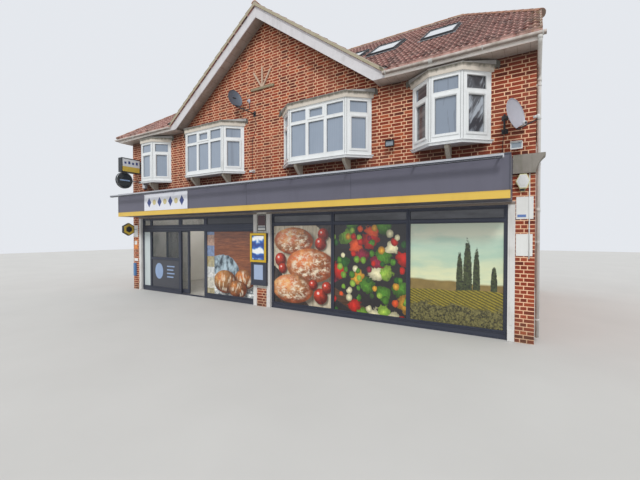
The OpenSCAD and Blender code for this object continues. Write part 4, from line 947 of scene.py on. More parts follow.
def dish_shell(bm, place, wide, tall, deep, cut_at, material):
    """An oval dish whose lower edge is cut straight, as a thin shell with a rolled rim."""
    before = set(bm.verts)
    rings = 9
    line = [bm.verts.new(place @ at(k / rings, deep * ((k / rings) ** 2 - 1), 0)) for k in range(rings + 1)]
    facing = place.col[1].to_3d()
    bmesh.ops.spin(bm, geom=line + [bm.edges.new(pair) for pair in zip(line, line[1:])],
                   cent=place.translation, axis=facing, angle=math.tau, steps=40, use_merge=True,
                   use_duplicate=False)
    bmesh.ops.remove_doubles(bm, verts=[v for v in bm.verts if v not in before], dist=1e-4)
    shell = [v for v in bm.verts if v not in before]
    bmesh.ops.scale(bm, vec=(wide / 2, 1, tall / 2), space=place.inverted(), verts=shell)
    faces = {f for v in shell for f in v.link_faces}
    geom = shell + list({e for v in shell for e in v.link_edges}) + list(faces)
    up = place.col[2].to_3d()
    bmesh.ops.bisect_plane(bm, geom=geom, plane_co=place.translation - up * cut_at * tall / 2, plane_no=up,
                           clear_inner=True)
    shell = [v for v in bm.verts if v not in before]
    rim = [e for e in {e for v in shell for e in v.link_edges} if e.is_boundary]
    lip = bmesh.ops.extrude_edge_only(bm, edges=rim)["geom"]
    bmesh.ops.translate(bm, vec=facing * 0.01, verts=[g for g in lip if isinstance(g, bmesh.types.BMVert)])
    faces = {f for v in bm.verts if v not in before for f in v.link_faces}
    for face in faces:
        face.smooth = True
        face.material_index = material
    bmesh.ops.recalc_face_normals(bm, faces=list(faces))
    bmesh.ops.solidify(bm, geom=list(faces), thickness=0.006)


def dish_place(centre, facing, roll=0):
    """A dish's plane: across it, the way it faces, and up it."""
    facing = Vector(facing).normalized()
    side = facing.cross(Z).normalized()
    return plane(centre, side, facing, side.cross(facing)) @ Matrix.Rotation(-roll, 4, "Y")


def dishes(dark, pale, black, white):
    """Two offset dishes on their arms and brackets. Both look along the street to the right."""
    bm = bmesh.new()
    (x0, _, z0), (x1, _, _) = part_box("sunburst")
    # The dark one, in the gable
    y = FRONT_Y - 0.305
    centre = at((x0 + x1) / 2 - 0.74, y, z0 - 0.205)
    place = dish_place(centre, (0.883, -0.321, 0.342))
    side, facing, up = [place.col[k].to_3d() for k in range(3)]
    dish_shell(bm, place, 0.41, 0.55, 0.05, 0.87, 0)
    stub(bm, centre - up * 0.24 + facing * 0.006 - side * 0.1, side * 0.2, 0.009, 10, 2)
    back = centre - facing * 0.062
    knee = back - up * 0.2
    elbow = at(centre.x + 0.442, y, knee.z - 0.21)
    slab(bm, plane(back, side, -facing), -0.05, 0.05, -0.06, 0.06, -0.012, 0.03, 2, 0.004)
    slab(bm, street(FRONT_Y, elbow.x, elbow.z), -0.045, 0.045, -0.075, 0.075, -0.001, 0.008, 2, 0.001)
    tube(bm, bent([back, knee, elbow + at(-0.05, 0, 0.03), elbow, elbow + Y * 0.3], 0.035), 0.014, 12, 2)
    tip = elbow + at(0.1, -0.01, 0.02)
    tube(bm, bent([elbow + at(-0.06, 0, 0.03), tip, tip + Z * 0.16], 0.02), 0.01, 10, 2)
    tube(bm, [tip + Z * d for d in (0.15, 0.18, 0.26, 0.27)], [0.016, 0.028, 0.028, 0.02], 16, 1)
    tube(bm, [tip + at(-0.07, 0, 0.235), tip + at(-0.015, 0, 0.235)], [0.026, 0.02], 16, 1)
    # The pale one near the right corner, on a pole held by two wall brackets
    centre = at(WALL_X - 0.31, FRONT_Y - 0.3, 4.12)
    pole = at(centre.x - 0.185, FRONT_Y - 0.115, 0)
    place = dish_place(centre, (0.868, -0.481, 0.122), -0.45)
    side, facing, up = [place.col[k].to_3d() for k in range(3)]
    dish_shell(bm, place, 0.51, 0.57, 0.056, 0.8, 1)
    back = centre - facing * 0.07
    stub(bm, pole + Z * 3.86, Z * 0.34, 0.019, 14, 2)
    for z in (3.91, 4.16):
        foot = street(FRONT_Y, pole.x, z)
        slab(bm, foot, -0.055, 0.055, -0.045, 0.045, -0.001, 0.008, 2, 0.001)
        slab(bm, foot, -0.02, 0.02, -0.012, 0.012, 0, 0.11, 2, 0.001)
    slab(bm, plane(back, side, -facing), -0.05, 0.05, -0.06, 0.06, -0.012, 0.03, 1, 0.004)
    tube(bm, bent([back, back - facing * 0.05, pole + Z * 4.12], 0.02), 0.018, 12, 2)
    knee = back - up * 0.27
    tip = knee + facing * 0.4 + up * 0.05
    tube(bm, bent([back, knee, tip], 0.04), 0.012, 10, 2)
    tube(bm, [tip + up * d for d in (-0.03, 0.05, 0.07)], [0.026, 0.026, 0.02], 16, 3)
    tube(bm, [tip + up * 0.045 - facing * 0.075, tip + up * 0.045], [0.026, 0.02], 16, 3)
    piece("dishes", bm, [dark, pale, black, white], replaces=("satellite_dishes",))
    # Aerial leads clipped to the brickwork
    bm = bmesh.new()
    near = FRONT_Y - 0.006
    tube(bm, bent([at(elbow.x, FRONT_Y - 0.012, elbow.z - 0.05), at(-0.3, near, 5), at(-0.455, near, 4.6),
                   at(-0.46, near, FASCIA_TOP + 0.005)], 0.06), 0.0045, 8)
    tube(bm, bent([at(pole.x, FRONT_Y - 0.01, 3.9), at(pole.x - 0.03, near, 3.75),
                   at(pole.x - 0.05, near, FASCIA_TOP + 0.005)], 0.05), 0.0045, 8)
    piece("aerial_leads", bm, black)


# Fixtures

def fixtures(white, dark, lens):
    # Alarm sounder: a raised white face and a dark strobe
    (_, y, z0), (x1, _, z1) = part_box("alarm_box")
    h, w = 0.13, 0.115
    middle = street(y, x1 - w, (z0 + z1) / 2 + 0.026)
    bm = bmesh.new()
    for share, d0, d1 in ((0.91, -0.002, 0.007), (0.65, 0.005, 0.012)):
        outline = [(x * share, z * share) for x, z in ((-w, 0), (-w + h / 2, h), (w / 2, h), (w, 0),
                                                       (w / 2, -h), (-w + h / 2, -h))]
        plate(bm, middle, outline, d0, d1, 0, 1 - 0.05 / share)
    piece("alarm_face", bm, white, bevel=0.001)
    bm = bmesh.new()
    slab(bm, street(y + 0.04, x1 - w, z0), -0.045, 0.03, 0.006, 0.048, -0.001, 0.012, 0, 0.005)
    piece("alarm_strobe", bm, dark, bevel=0.002)
    # Floodlights: fins behind, a bezel and a glass in front, a hood over it
    bm = bmesh.new()
    for low, high in solids("floodlights"):
        cx = (low[0] + high[0]) / 2
        place = street(low[1], cx, (low[2] + high[2]) / 2)
        body = 2 if cx > 5 else 0
        frame_ring(bm, place, (-0.098, 0.098, -0.066, 0.066), 0.018, -0.03, 0.008, 0.004, body)
        slab(bm, place, -0.082, 0.082, -0.05, 0.05, -0.002, 0.003, 1, 0.002)
        for x in evenly(-0.075, 0.075, 7):
            slab(bm, place, x - 0.003, x + 0.003, 0.055, 0.072, -0.1, -0.01, body)
        slab(bm, place, -0.092, 0.092, 0.066, 0.07, -0.06, 0.045, body)
    piece("floodlight_details", bm, [dark, lens, white])
    # Small cameras over the fascia and at the right corner
    bm = bmesh.new()
    for base, turn in ((at(-0.4, FRONT_Y, 3.76), -0.5), (at(6.1, FRONT_Y, 4.02), 0.5)):
        slab(bm, plane(base), -0.045, 0.045, -0.045, 0.045, -0.001, 0.02, 0, 0.004)
        tip = base + at(0, -0.075, -0.01)
        tube(bm, [base - Y * 0.015, tip], 0.014, 12)
        d = at(turn, -0.8, -0.28).normalized()
        tube(bm, [tip - d * 0.055, tip + d * 0.075, tip + d * 0.085], [0.032, 0.032, 0.027], 18)
        stub(bm, tip + d * 0.083, d * 0.007, 0.021, 18, 1)
    piece("small_cameras", bm, [white, dark])
    # A clipped conduit on the right pier
    bm = bmesh.new()
    stub(bm, at(6.21, FRONT_Y - 0.014, 1.55), Z * 1.55, 0.01, 10)
    for z in (1.7, 2.1, 2.5, 2.85):
        slab(bm, street(FRONT_Y, 6.21, z), -0.016, 0.016, -0.008, 0.008, -0.001, 0.022, 0, 0.002)
    piece("pier_conduit", bm, white)


def pier_boards(white, board, orange, blue, dark, maroon, strip):
    """Thin boards and plates on the piers' street faces, as x0, x1, z0, z1, depths, material and sink."""
    bm = bmesh.new()
    for plate_at in ((6.00, 6.275, 2.275, 2.685, -0.001, 0.012, 0, 0.002),
                     (6.00, 6.265, 1.6, 2.005, -0.001, 0.01, 0, 0.002),
                     (6.02, 6.16, 2.31, 2.36, 0.01, 0.016, 1, 0.002),
                     (-6.26, -6.02, 1.9, 2.32, -0.001, 0.01, 0, 0.002),
                     (-6.25, -6.03, 1.02, 1.12, -0.001, 0.01, 0, 0.002),
                     (-6.245, -6.035, 1.46, 1.8, -0.001, 0.012, 2, 0.002),
                     (-6.22, -6.06, 1.62, 1.76, 0.01, 0.015, 0, 0.002),
                     (-6.25, -6.12, 0.48, 0.95, -0.001, 0.05, 3, 0.006)):
        slab(bm, STREET, *plate_at)
    piece("pier_boards", bm, [white, board, orange, blue], bevel=0.001)
    # A narrow poster on the middle pier, above the case
    bm = bmesh.new()
    slab(bm, STREET, -0.272, 0.028, 2.1, 2.54, -0.001, 0.01, 0, 0.002)
    frame_ring(bm, STREET, (-0.272, 0.028, 2.1, 2.54), 0.016, 0, 0.016, 0.003, 1)
    slab(bm, STREET, -0.25, 0.006, 2.235, 2.518, 0.009, 0.013, 2)
    slab(bm, STREET, -0.25, 0.006, 2.165, 2.22, 0.009, 0.013, 3)
    piece("middle_poster", bm, [white, dark, maroon, strip])


def case_details(yellow, picture, dark, sheet):
    (x0, y, z0), (x1, _, z1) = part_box("notice_cases")
    place, split = street(y), z1 - 0.8
    rect = (x0, x1, split, z1)
    bm = bmesh.new()
    frame_ring(bm, place, rect, 0.062, -0.01, 0.022, 0.01)
    for x in (x0 + 0.031, x1 - 0.031):
        for z in (split + 0.031, z1 - 0.031):
            stub(bm, at(x, y - 0.02, z), -Y * 0.005, 0.009, 12)
    piece("case_frame", bm, yellow)
    bm = bmesh.new()
    slab(bm, place, *grown(rect, -0.06), -0.002, 0.006)
    frame_ring(bm, place, grown(rect, -0.058), 0.02, 0.004, 0.01, 0.002, 1)
    piece("case_picture", bm, [picture, dark])
    bm = bmesh.new()
    place = street(y + 0.015)
    x0, x1, mid = x0 + 0.015, x1 - 0.015, (x0 + x1) / 2
    slab(bm, place, x0 - 0.003, x1 + 0.003, z0, split, -0.07, 0.004, 0, 0.002)
    frame_ring(bm, place, (x0 - 0.001, x1 + 0.001, z0 + 0.004, split - 0.002), 0.045, 0, 0.014, 0.006)
    slab(bm, place, x0 + 0.11, x1 - 0.11, z0 + 0.16, split - 0.07, 0.003, 0.007, 1, 0.001)
    slab(bm, place, mid - 0.02, mid + 0.02, z0 + 0.02, z0 + 0.04, 0.01, 0.018, 0, 0.002)
    piece("low_case", bm, [dark, sheet])


def bracket(bm, x, y, z, radius, half_x=0.05, half_z=0.045):
    """A bar that runs back to the street wall, with its wall plate."""
    tube(bm, [at(x, y, z), at(x, FRONT_Y + 0.001, z)], radius, 12, 4)
    slab(bm, street(FRONT_Y, x, z), -half_x, half_x, -half_z, half_z, -0.001, 0.008, 4, 0.002)


def corner_signs(dark, white, yellow, motif, steel, bell, pale):
    """The box sign, the round sign and the hexagonal sign at the left corner, without lettering."""
    bm = bmesh.new()
    x = 0.44 - WALL_X
    y1, z0 = FRONT_Y - 0.055, 4.15
    y0, z1 = y1 - 0.66, z0 + 0.49
    # Box sign: a dark case, with plain bands and bars on both faces
    slab(bm, plane(at(x, 0, 0), Y, X), y0, y1, z0, z1, -0.098, 0.098)
    for way in (-1, 1):
        place = plane(at(x, 0, 0), Y * way, X * way)
        a, b = sorted((y0 * way, y1 * way))
        frame_ring(bm, place, (a, b, z0, z1), 0.026, 0.094, 0.11)
        slab(bm, place, a + 0.026, b - 0.026, z0 + 0.2, z1 - 0.026, 0.096, 0.102, 1)
        slab(bm, place, a + 0.026, b - 0.026, z0 + 0.026, z0 + 0.2, 0.096, 0.103, 2)
        for k in range(4):
            c = a + 0.13 + k * 0.135
            top = z0 + 0.36 + 0.03 * (k % 2)
            slab(bm, place, c - 0.035, c + 0.035, z0 + 0.29, top, 0.101, 0.105, 3, 0.002)
    for share in (1 / 6, 5 / 6):
        bracket(bm, x, y1 - 0.004, z0 + 0.49 * share, 0.017)
    # Round sign, seated under the box sign
    radius = 0.28
    hub = at(x, y0 + 0.14, z0 - radius)
    stub(bm, hub - X * 0.045, X * 0.09, radius, 56)
    for way in (-1, 1):
        stub(bm, hub + X * way * 0.043, X * way * 0.005, radius * 0.9, 56, 5)
        slab(bm, plane(hub, Y * way, X * way), -0.17, 0.17, -0.02, 0.02, 0.047, 0.051, 6)
        rim = [hub + X * way * 0.045 + (Y * math.cos(a) + Z * math.sin(a)) * (radius - 0.008)
               for a in evenly(0, math.tau, 57)]
        tube(bm, rim, 0.007, 8, 4)
    bracket(bm, x, hub.y + radius - 0.01, hub.z, 0.017)
    # Hexagonal sign, with a point below
    radius, half = 0.23, 0.046
    hub = at(0.37 * 2 / 3 - half - WALL_X, FRONT_Y - radius * 1.35, 2.175)
    corners = [(math.sin(a) * radius, -math.cos(a) * radius) for a in evenly(0, math.tau, 7)[:-1]]
    for share, reach, material in ((1, 0, 0), (0.88, 0.004, 2), (0.5, 0.008, 0)):
        outline = [(y * share, z * share) for y, z in corners]
        plate(bm, plane(hub, Y, X), outline, -half - reach, half + reach, material)
    bracket(bm, hub.x, hub.y + radius * 0.8, hub.z, 0.011, 0.04, 0.05)
    piece("corner_sign_set", bm, [dark, white, yellow, motif, steel, bell, pale],
          replaces=("corner_signs",))
    # A bell box on the wall above the left pier
    bm = bmesh.new()
    slab(bm, STREET, -5.62, -5.42, 3.62, 3.86, -0.001, 0.07, 0, 0.012)
    slab(bm, STREET, -5.58, -5.46, 3.585, 3.62, -0.001, 0.05, 1, 0.006)
    piece("bell_box", bm, [white, dark], bevel=0.002)


# Rear

def rear_details(white, rubber, steel, stone, door):
    bm, sills = bmesh.new(), bmesh.new()
    for low, high in solids("rear_windows"):
        place, x0, x1 = rear(high[1]), -high[0], -low[0]
        w = (x1 - x0 - 3 * BAY_RAIL) / 2
        for k, x in enumerate((x0 + BAY_RAIL, x0 + w + 2 * BAY_RAIL)):
            rect = (x, x + w, low[2] + BAY_RAIL, high[2] - BAY_RAIL)
            if k == 0:
                frame_ring(bm, place, grown(rect, 0.012), 0.052, -0.004, 0.016, 0.005)
                rect = grown(rect, -0.036)
            frame_ring(bm, place, grown(rect, 0.004), 0.016, -0.026, 0.008, 0.004)
            frame_ring(bm, place, grown(rect, -0.011), 0.006, -0.026, -0.018, 0.001, 1)
        foot = low[2]
        slab(sills, rear(REAR_Y), x0 - 0.06, x1 + 0.06, foot - 0.06, foot + 0.004, -0.035, 0.05, 0, 0.006)
    piece("rear_window_beads", bm, [white, rubber])
    piece("rear_sills", sills, stone, bevel=0.003)
    bm = bmesh.new()
    for low, high in solids("rear_doors"):
        place, x0, x1, z0 = rear(high[1]), -high[0], -low[0], low[2]
        frame_ring(bm, place, (x0, x1, z0, high[2]), 0.055, -0.01, 0.022, 0.006)
        for a, b in ((z0 + 0.2, z0 + 0.9), (z0 + 1.08, high[2] - 0.18)):
            frame_ring(bm, place, (x0 + 0.16, x1 - 0.16, a, b), 0.035, -0.004, 0.012, 0.006)
            slab(bm, place, x0 + 0.22, x1 - 0.22, a + 0.06, b - 0.06, -0.002, 0.008, 0, 0.012)
        x = x1 - 0.11
        slab(bm, place, x - 0.02, x + 0.02, z0 + 0.92, z0 + 1.14, -0.002, 0.006, 1, 0.002)
        base = at(-x, high[1], z0 + 1.03)
        tube(bm, bent([base, base + Y * 0.045, base + at(0.12, 0.045, 0)], 0.015), 0.009, 12, 1)
    piece("rear_door_details", bm, [door, steel])


def ceiling_lights(glow, body):
    """Rows of light battens on the shop's ceiling."""
    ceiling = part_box("first_floor")[0][2]
    bm = bmesh.new()
    for x in (-5.2, -3.8, -2.4, -1, 1.2, 2.8, 4.4):
        for y in (-2.6, -1, 0.8, 2.4):
            slab(bm, street(y, x, ceiling), -0.05, 0.05, -0.055, -0.001, -0.6, 0.6)
            stub(bm, at(x, y - 0.58, ceiling - 0.07), Y * 1.16, 0.022, 12, 1)
    piece("ceiling_battens", bm, [body, glow])


# Clay, timber, concrete and floors

def ridge_surface(name, low, high, moss):
    """Half-round clay: each length changes tone, with patches of moss."""
    s = Surface(name, 0.82)
    add = s.add
    tone = add("TexNoise", add("Mapping", s.place, None, None, (1.9, 1.9, 1.9)), 1, 1, 0.55)
    colour = add("ValToRGB", tone, stops={0.3: low, 0.7: high})
    patches = add("MapRange", add("TexNoise", s.place, 9, 4, 0.7), 0.5, 0.68, 0, 0.7)
    grain = add("TexNoise", s.place, 40, 4, 0.7)
    return s.finish(add("Mix", patches, colour, moss), add("Bump", 0.8, 0.004, None, grain))


def head_board():
    """Brushed beige paint with a ragged dark stain along its upper edge."""
    s = Surface("brushed_beige_paint", 0.55)
    add = s.add
    colour = add("Mix", add("TexNoise", s.place, 2.5, 4, 0.55), "bdb3a4", "d6cdc0")
    runs = add("TexNoise", add("Mapping", s.place, None, None, (5, 5, 0.6)), 2, 4, 0.7)
    edge = add("Math MULTIPLY_ADD", runs, -0.13, add("Math SUBTRACT", BAY_TOP, s.z))
    colour = s.lay(colour, "4c4b40", edge, -0.05, 0.01, 0.85, 0)
    return s.finish(colour, add("Bump", 0.5, 0.001, None, add("TexNoise", s.place, 60, 3, 0.55)))


def gutter_surface():
    """Extruded plastic, weathered: pale over the roll, with painted shade in a band along its bottom."""
    s = Surface("extruded_gutter_plastic", 0.45)
    add = s.add
    runs = add("TexNoise", add("Mapping", s.place, None, None, (2, 2, 0.5)), 3, 4, 0.55)
    colour = s.lay("d3c8c0", "a89c90", runs, 0.4, 0.7)
    # Painted shade in a band along the bottom of the roll
    low = add("Math MULTIPLY", add("MapRange", s.z, GUTTER_HIGH[2] - 0.068, GUTTER_HIGH[2] - 0.052),
              add("MapRange", s.z, GUTTER_HIGH[2] - 0.044, GUTTER_HIGH[2] - 0.028, 0.75, 0))
    return s.finish(add("Mix", low, colour, "6f6259"),
                    add("Bump", 0.4, 0.0008, None, add("TexNoise", s.place, 90, 3, 0.55)))


def sunburst_surface():
    """Painted strips worn to the grain: an olive bar under paler pinkish rays."""
    s = Surface("worn_painted_strips", 0.65)
    add = s.add
    grain = add("TexNoise", add("Mapping", s.place, None, None, (6, 6, 2)), 4, 4, 0.55)
    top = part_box("sunburst")[0][2] + 0.062
    colour = add("Mix", add("MapRange", s.z, top - 0.001, top + 0.001),
                 add("Mix", grain, "756a50", "a2947a"), add("Mix", grain, "a98f7a", "d6bda6"))
    return s.finish(colour, add("Bump", 0.5, 0.002, None, grain))


def timber(name, pale, dark, rough=0.6):
    """Painted timber that shows its upright grain, with duller clouds."""
    s = Surface(name, rough)
    add = s.add
    grain = add("TexNoise", add("Mapping", s.place, None, None, (12, 12, 1.2)), 3, 5, 0.65)
    colour = s.lay(dark, pale, grain, 0.3, 0.7)
    cloud = add("MapRange", add("TexNoise", s.place, 4, 3, 0.55), 0.5, 0.8, 0, 0.4)
    return s.finish(add("Mix", cloud, colour, dark), add("Bump", 0.6, 0.002, None, grain))


def soffit_surface():
    """White boards gone brown with damp, with painted shade darkening the front soffit towards the wall, and
    a joint every 0.2 m.
    """
    s = Surface("painted_soffit_boards", 0.6)
    add = s.add
    stain = add("TexNoise", add("Mapping", s.place, None, None, (1, 1.6, 1)), 1.8, 5, 0.65)
    colour = s.lay("a39489", "bfb4ac", stain, 0.35, 0.65)
    spots = add("MapRange", add("TexNoise", s.place, 7, 4, 0.7), 0.57, 0.67, 0, 0.5)
    colour = add("Mix", spots, colour, "7d6e60")
    # Painted shade on the front soffit, darker towards the street wall
    inner = add("Math MULTIPLY", add("MapRange", s.y, FRONT_Y - 0.3, FRONT_Y - 0.04, 0, 0.5),
                add("MapRange", s.y, -0.001, 0.001, 1, 0))
    colour = add("Mix", inner, colour, "4f4036")
    lane = add("Math FLOORED_MODULO", add("Math ADD", s.x, 20), 0.2)
    flat = add("MapRange", lane, 0.004, 0.008)
    joint = add("Math MULTIPLY_ADD", flat, -0.7, 0.7)
    return s.finish(add("Mix", joint, colour, "5b5148"), add("Bump", 0.5, 0.002, None, flat))


def concrete(name, pale, dark, moss="5f6048"):
    """Cast concrete: coarse grain, with moss on its upper faces and in the rain runs."""
    s = Surface(name, 0.9)
    add = s.add
    colour = add("Mix", add("TexNoise", s.place, 3, 4, 0.6), dark, pale)
    runs = add("TexNoise", add("Mapping", s.place, None, None, (9, 9, 1.2)), 2, 4, 0.55)
    colour = s.lay(colour, moss, runs, 0.48, 0.75, 0, 0.6)
    colour = s.lay(colour, moss, s.nz, 0.4, 0.8, 0, 0.5)
    return s.finish(colour, add("Bump", 0.7, 0.003, None, add("TexNoise", s.place, 60, 4, 0.7)))


def boards(s, wide, pale, dark, upright=True):
    """Timber boards with grain, each board with its own tone."""
    add = s.add
    place = add("Math DIVIDE", s.x if upright else s.z, wide)
    lane = add("Math FLOOR", place)
    tone = add("TexWhiteNoise", add("CombineXYZ", lane, 3, 0))
    shifted = add("CombineXYZ", add("Math MULTIPLY_ADD", lane, 7.3, s.x), s.y, s.z)
    scale = (9, 9, 1) if upright else (1, 9, 9)
    grain = add("TexNoise", add("Mapping", shifted, None, None, scale), 3, 5, 0.65)
    colour = s.lay(dark, pale, grain, 0.3, 0.7)
    colour = add("Mix", add("Math MULTIPLY", tone, 0.35), colour, dark)
    edge = add("Math SUBTRACT", place, lane)
    line = add("Math ADD", add("MapRange", edge, 0.01, 0.03, 0.7, 0),
               add("MapRange", edge, 0.975, 0.995, 0, 0.7))
    return add("Mix", line, colour, "2c1c12")


def floor_boards(name):
    """Planed boards above, and a plastered ceiling on the underside."""
    s = Surface(name, 0.6)
    ceiling = s.add("Mix", s.add("TexNoise", s.place, 3, 2, 0.55), "e4e2da", "efeee8")
    below = s.add("MapRange", s.nz, -0.501, -0.499, 1, 0)
    return s.finish(s.add("Mix", below, boards(s, 0.15, "b08a5c", "8a6642"), ceiling))


def floor_tiles():
    """Pressed floor tiles of 0.4 m with grey joints."""
    s = Surface("pressed_floor_tiles", 0.42)
    add = s.add
    cells = [add("MapRange", add("Math FLOORED_MODULO", add("Math ADD", v, 20), 0.4), 0.003, 0.005)
             for v in (s.x, s.y)]
    flat = add("Math MULTIPLY", *cells)
    colour = add("Mix", add("TexNoise", s.place, 5, 4, 0.55), "a8a49c", "c4c0b6")
    joint = add("Math MULTIPLY_ADD", flat, -0.7, 0.7)
    return s.finish(add("Mix", joint, colour, "6f6b64"), add("Bump", 0.5, 0.001, None, flat))


# Glass and pictures

def window_glass(name, pale, dark):
    """Float glass with net curtains painted behind it under a gloss coat: upright folds in faint painted
    shade, patches of painted shade where the curtains part, and darker towards the top.
    """
    s = Surface(name, 0.14, coat=1)
    add = s.add
    along = add("Math MULTIPLY_ADD", s.y, 0.6, s.x)
    warp = add("TexNoise", add("Mapping", s.place, None, None, (4, 4, 0.5)), 2, 2, 0.55)
    # Painted shade in the curtains' upright folds
    fold = add("Math SINE", add("Math MULTIPLY_ADD", along, 95, add("Math MULTIPLY", warp, 13)))
    colour = s.lay(dark, pale, fold, -1, 1, 0.45, 0.55)
    # Patches of painted shade where the curtains part
    gap = add("TexNoise", add("Mapping", s.place, None, None, (1.6, 1.6, 0.1)), 2.3, 2, 0.55)
    colour = s.lay(colour, "3f444c", gap, 0.62, 0.66, 0, 0.22)
    height = add("MapRange", s.z, BAY_Z, BAY_Z + BAY_H, clamp=False)
    colour = s.lay(colour, dark, height, 0.55, 1, 0, 0.25)
    cloud = add("TexNoise", add("Mapping", s.place, None, None, (1, 1, 0.6)), 1.6, 3, 0.55)
    colour = s.lay(colour, "a9b3c1", cloud, 0.45, 0.7, 0, 0.2)
    # The last bay's curtains stand open: a dim room in painted shade, with painted slanting reflections in
    # its right face
    lean = add("CombineXYZ", add("Math MULTIPLY_ADD", s.z, -0.7, add("Math ADD", s.x, s.y)), 0,
               add("Math MULTIPLY", s.z, 0.3))
    slant = add("TexNoise", lean, 7, 3, 0.6)
    fall = add("MapRange", height, 0.45, 0.9, 0, 0.14)
    right = s.lay("2e2a2b", "a3a9b0", add("Math SUBTRACT", slant, fall), 0.43, 0.56)
    left = s.lay("33282a", "6c625f", slant, 0.45, 0.62)
    room = s.lay("808b99", right, s.nx, 0.2, 0.4)
    room = s.lay(room, left, s.nx, -0.4, -0.2, 1, 0)
    lines = add("TexNoise", add("Mapping", s.place, None, None, (9, 9, 0.8)), 2, 2, 0.55)
    room = s.lay(room, "3a3e46", lines, 0.61, 0.65, 0, 0.35)
    return s.finish(s.lay(colour, room, s.x, 4.199, 4.201, 0, 0.9))


def skylight_glass():
    """Toughened roof glass with a bright cloudy sky painted on as its reflection."""
    s = Surface("toughened_roof_glass", 0.12, coat=1)
    # A painted reflection of a pale cloudy sky
    cloud = s.add("TexNoise", s.add("Mapping", s.place, None, None, (1, 1.4, 1.4)), 2.2, 3, 0.55)
    return s.finish(s.lay("dadfdf", "a8b2b8", cloud, 0.35, 0.7))


def clear_glass(name, tint, alpha, rough=0.03):
    """Polished glass with wiped smears, seen through by a share."""
    s = Surface(name)
    smear = s.add("TexNoise", s.add("Mapping", s.place, None, None, (2, 2, 0.7)), 2, 4, 0.55)
    s.feed(s.shader.inputs["Alpha"], s.add("MapRange", smear, 0.45, 0.8, alpha, alpha + 0.12))
    return s.finish(tint, None, s.add("MapRange", smear, None, None, rough, rough + 0.06))


def film(name, colour, dirt):
    """Printed vinyl: an even tone with a faint shine, a little scuffed."""
    return worn(name, colour, dirt, 0.35, coat=0.3, amount=0.6, scale=1.5, streak=3)


def glow_surface(name, colour, strength):
    """A frosted tube that shines."""
    s = Surface(name, 0.4)
    s.feed(s.shader.inputs["Emission Color"], colour)
    s.feed(s.shader.inputs["Emission Strength"], strength)
    return s.finish(s.add("Mix", s.add("TexNoise", s.place, 2, 1, 0.55), colour, "f4f4ee"))


def oval(s, cx, cz, rx, rz):
    """Distance from an oval's centre over a street face, 1 on its rim."""
    x, z = [s.add("Math DIVIDE", s.add("Math SUBTRACT", v, c), r)
            for v, c, r in ((s.x, cx, rx), (s.z, cz, rz))]
    return s.add("Math SQRT", s.add("Math MULTIPLY_ADD", x, x, s.add("Math MULTIPLY", z, z)))


def loaf(s, colour, cx, cz, rx, rz, crust, inner, dust=None):
    """Lays a rounded thing over a colour: its shadow, a dark rim, a mottled top lit from the left."""
    add = s.add
    mottle = add("TexNoise", s.place, 3 / rx, 4, 0.7)
    far = add("Math MULTIPLY_ADD", add("Math SUBTRACT", mottle, 0.5), 0.1, oval(s, cx, cz, rx, rz))
    shadow = oval(s, cx + 0.2 * rx, cz - 0.2 * rz, rx, rz)
    colour = s.lay(colour, "24150d", shadow, 0.88, 1.12, 0.8, 0)
    light = oval(s, cx - 0.35 * rx, cz + 0.35 * rz, rx, rz)
    body = s.lay(inner, crust, light, 0.2, 1.15)
    body = add("Mix OVERLAY", 0.7, body,
               add("ValToRGB", mottle, stops={0.32: "3c2c20", 0.5: "8a8078", 0.7: "e4d8c8"}))
    if dust:
        dusted = add("Math MULTIPLY", dust, add("MapRange", far, 0.65, 0.9, 1, 0))
        body = add("Mix", dusted, body, "f0e2c6")
    else:
        body = s.lay(body, "f8e6dc", light, 0.14, 0.22, 0.8, 0)
    return s.lay(colour, body, far, 0.98, 1.02, 1, 0)


def bread_picture(s, x0, x1, z0, z1):
    """Dusted loaves and small red fruit on pale boards beside a dark cloth."""
    add = s.add
    w, h = x1 - x0, z1 - z0
    colour = boards(s, 0.3, "e2d9c4", "ab9a7c")
    fold = add("TexNoise", add("Mapping", s.place, None, None, (1, 1, 0.4)), 5, 3, 0.55)
    cloth = s.lay("211c1b", "564a45", fold, 0.4, 0.62)
    rim = add("Math MULTIPLY_ADD", fold, 0.3, add("Math MULTIPLY_ADD", s.x, 0.8, s.z))
    low, high = 0.8 * x0 + z0 + 1.15, 0.8 * x1 + z1 - 0.25
    colour = s.lay(colour, cloth, rim, low - 0.01, low + 0.01, 1, 0)
    colour = s.lay(colour, cloth, rim, high - 0.01, high + 0.01)
    flour = add("TexNoise", add("Mapping", s.place, None, None, (1, 1, 1.6)), 6, 4, 0.75)
    dust = add("MapRange", flour, 0.47, 0.6, 0, 0.95)
    for fx, fz, rx, rz, inner in ((0.36, 0.8, 0.34, 0.17, "f2bc7c"), (0.64, 0.5, 0.4, 0.21, "eaa263"),
                                  (0.34, 0.2, 0.36, 0.18, "f4c484")):
        colour = loaf(s, colour, x0 + fx * w, z0 + fz * h, rx * w, rz * h, "9a4e28", inner, dust)
    for fx, fz, r in ((0.86, 0.88, 0.085), (0.82, 0.77, 0.09), (0.13, 0.56, 0.1), (0.17, 0.45, 0.075),
                      (0.82, 0.14, 0.11), (0.92, 0.25, 0.08), (0.7, 0.27, 0.07)):
        colour = loaf(s, colour, x0 + fx * w, z0 + fz * h, r * w, r * w, "6e120a", "e04a30")
    leaf = add("MapRange", add("TexNoise", s.place, 13, 4, 0.75), 0.64, 0.68, 0, 0.8)
    return add("Mix", leaf, colour, "3d4a1c")


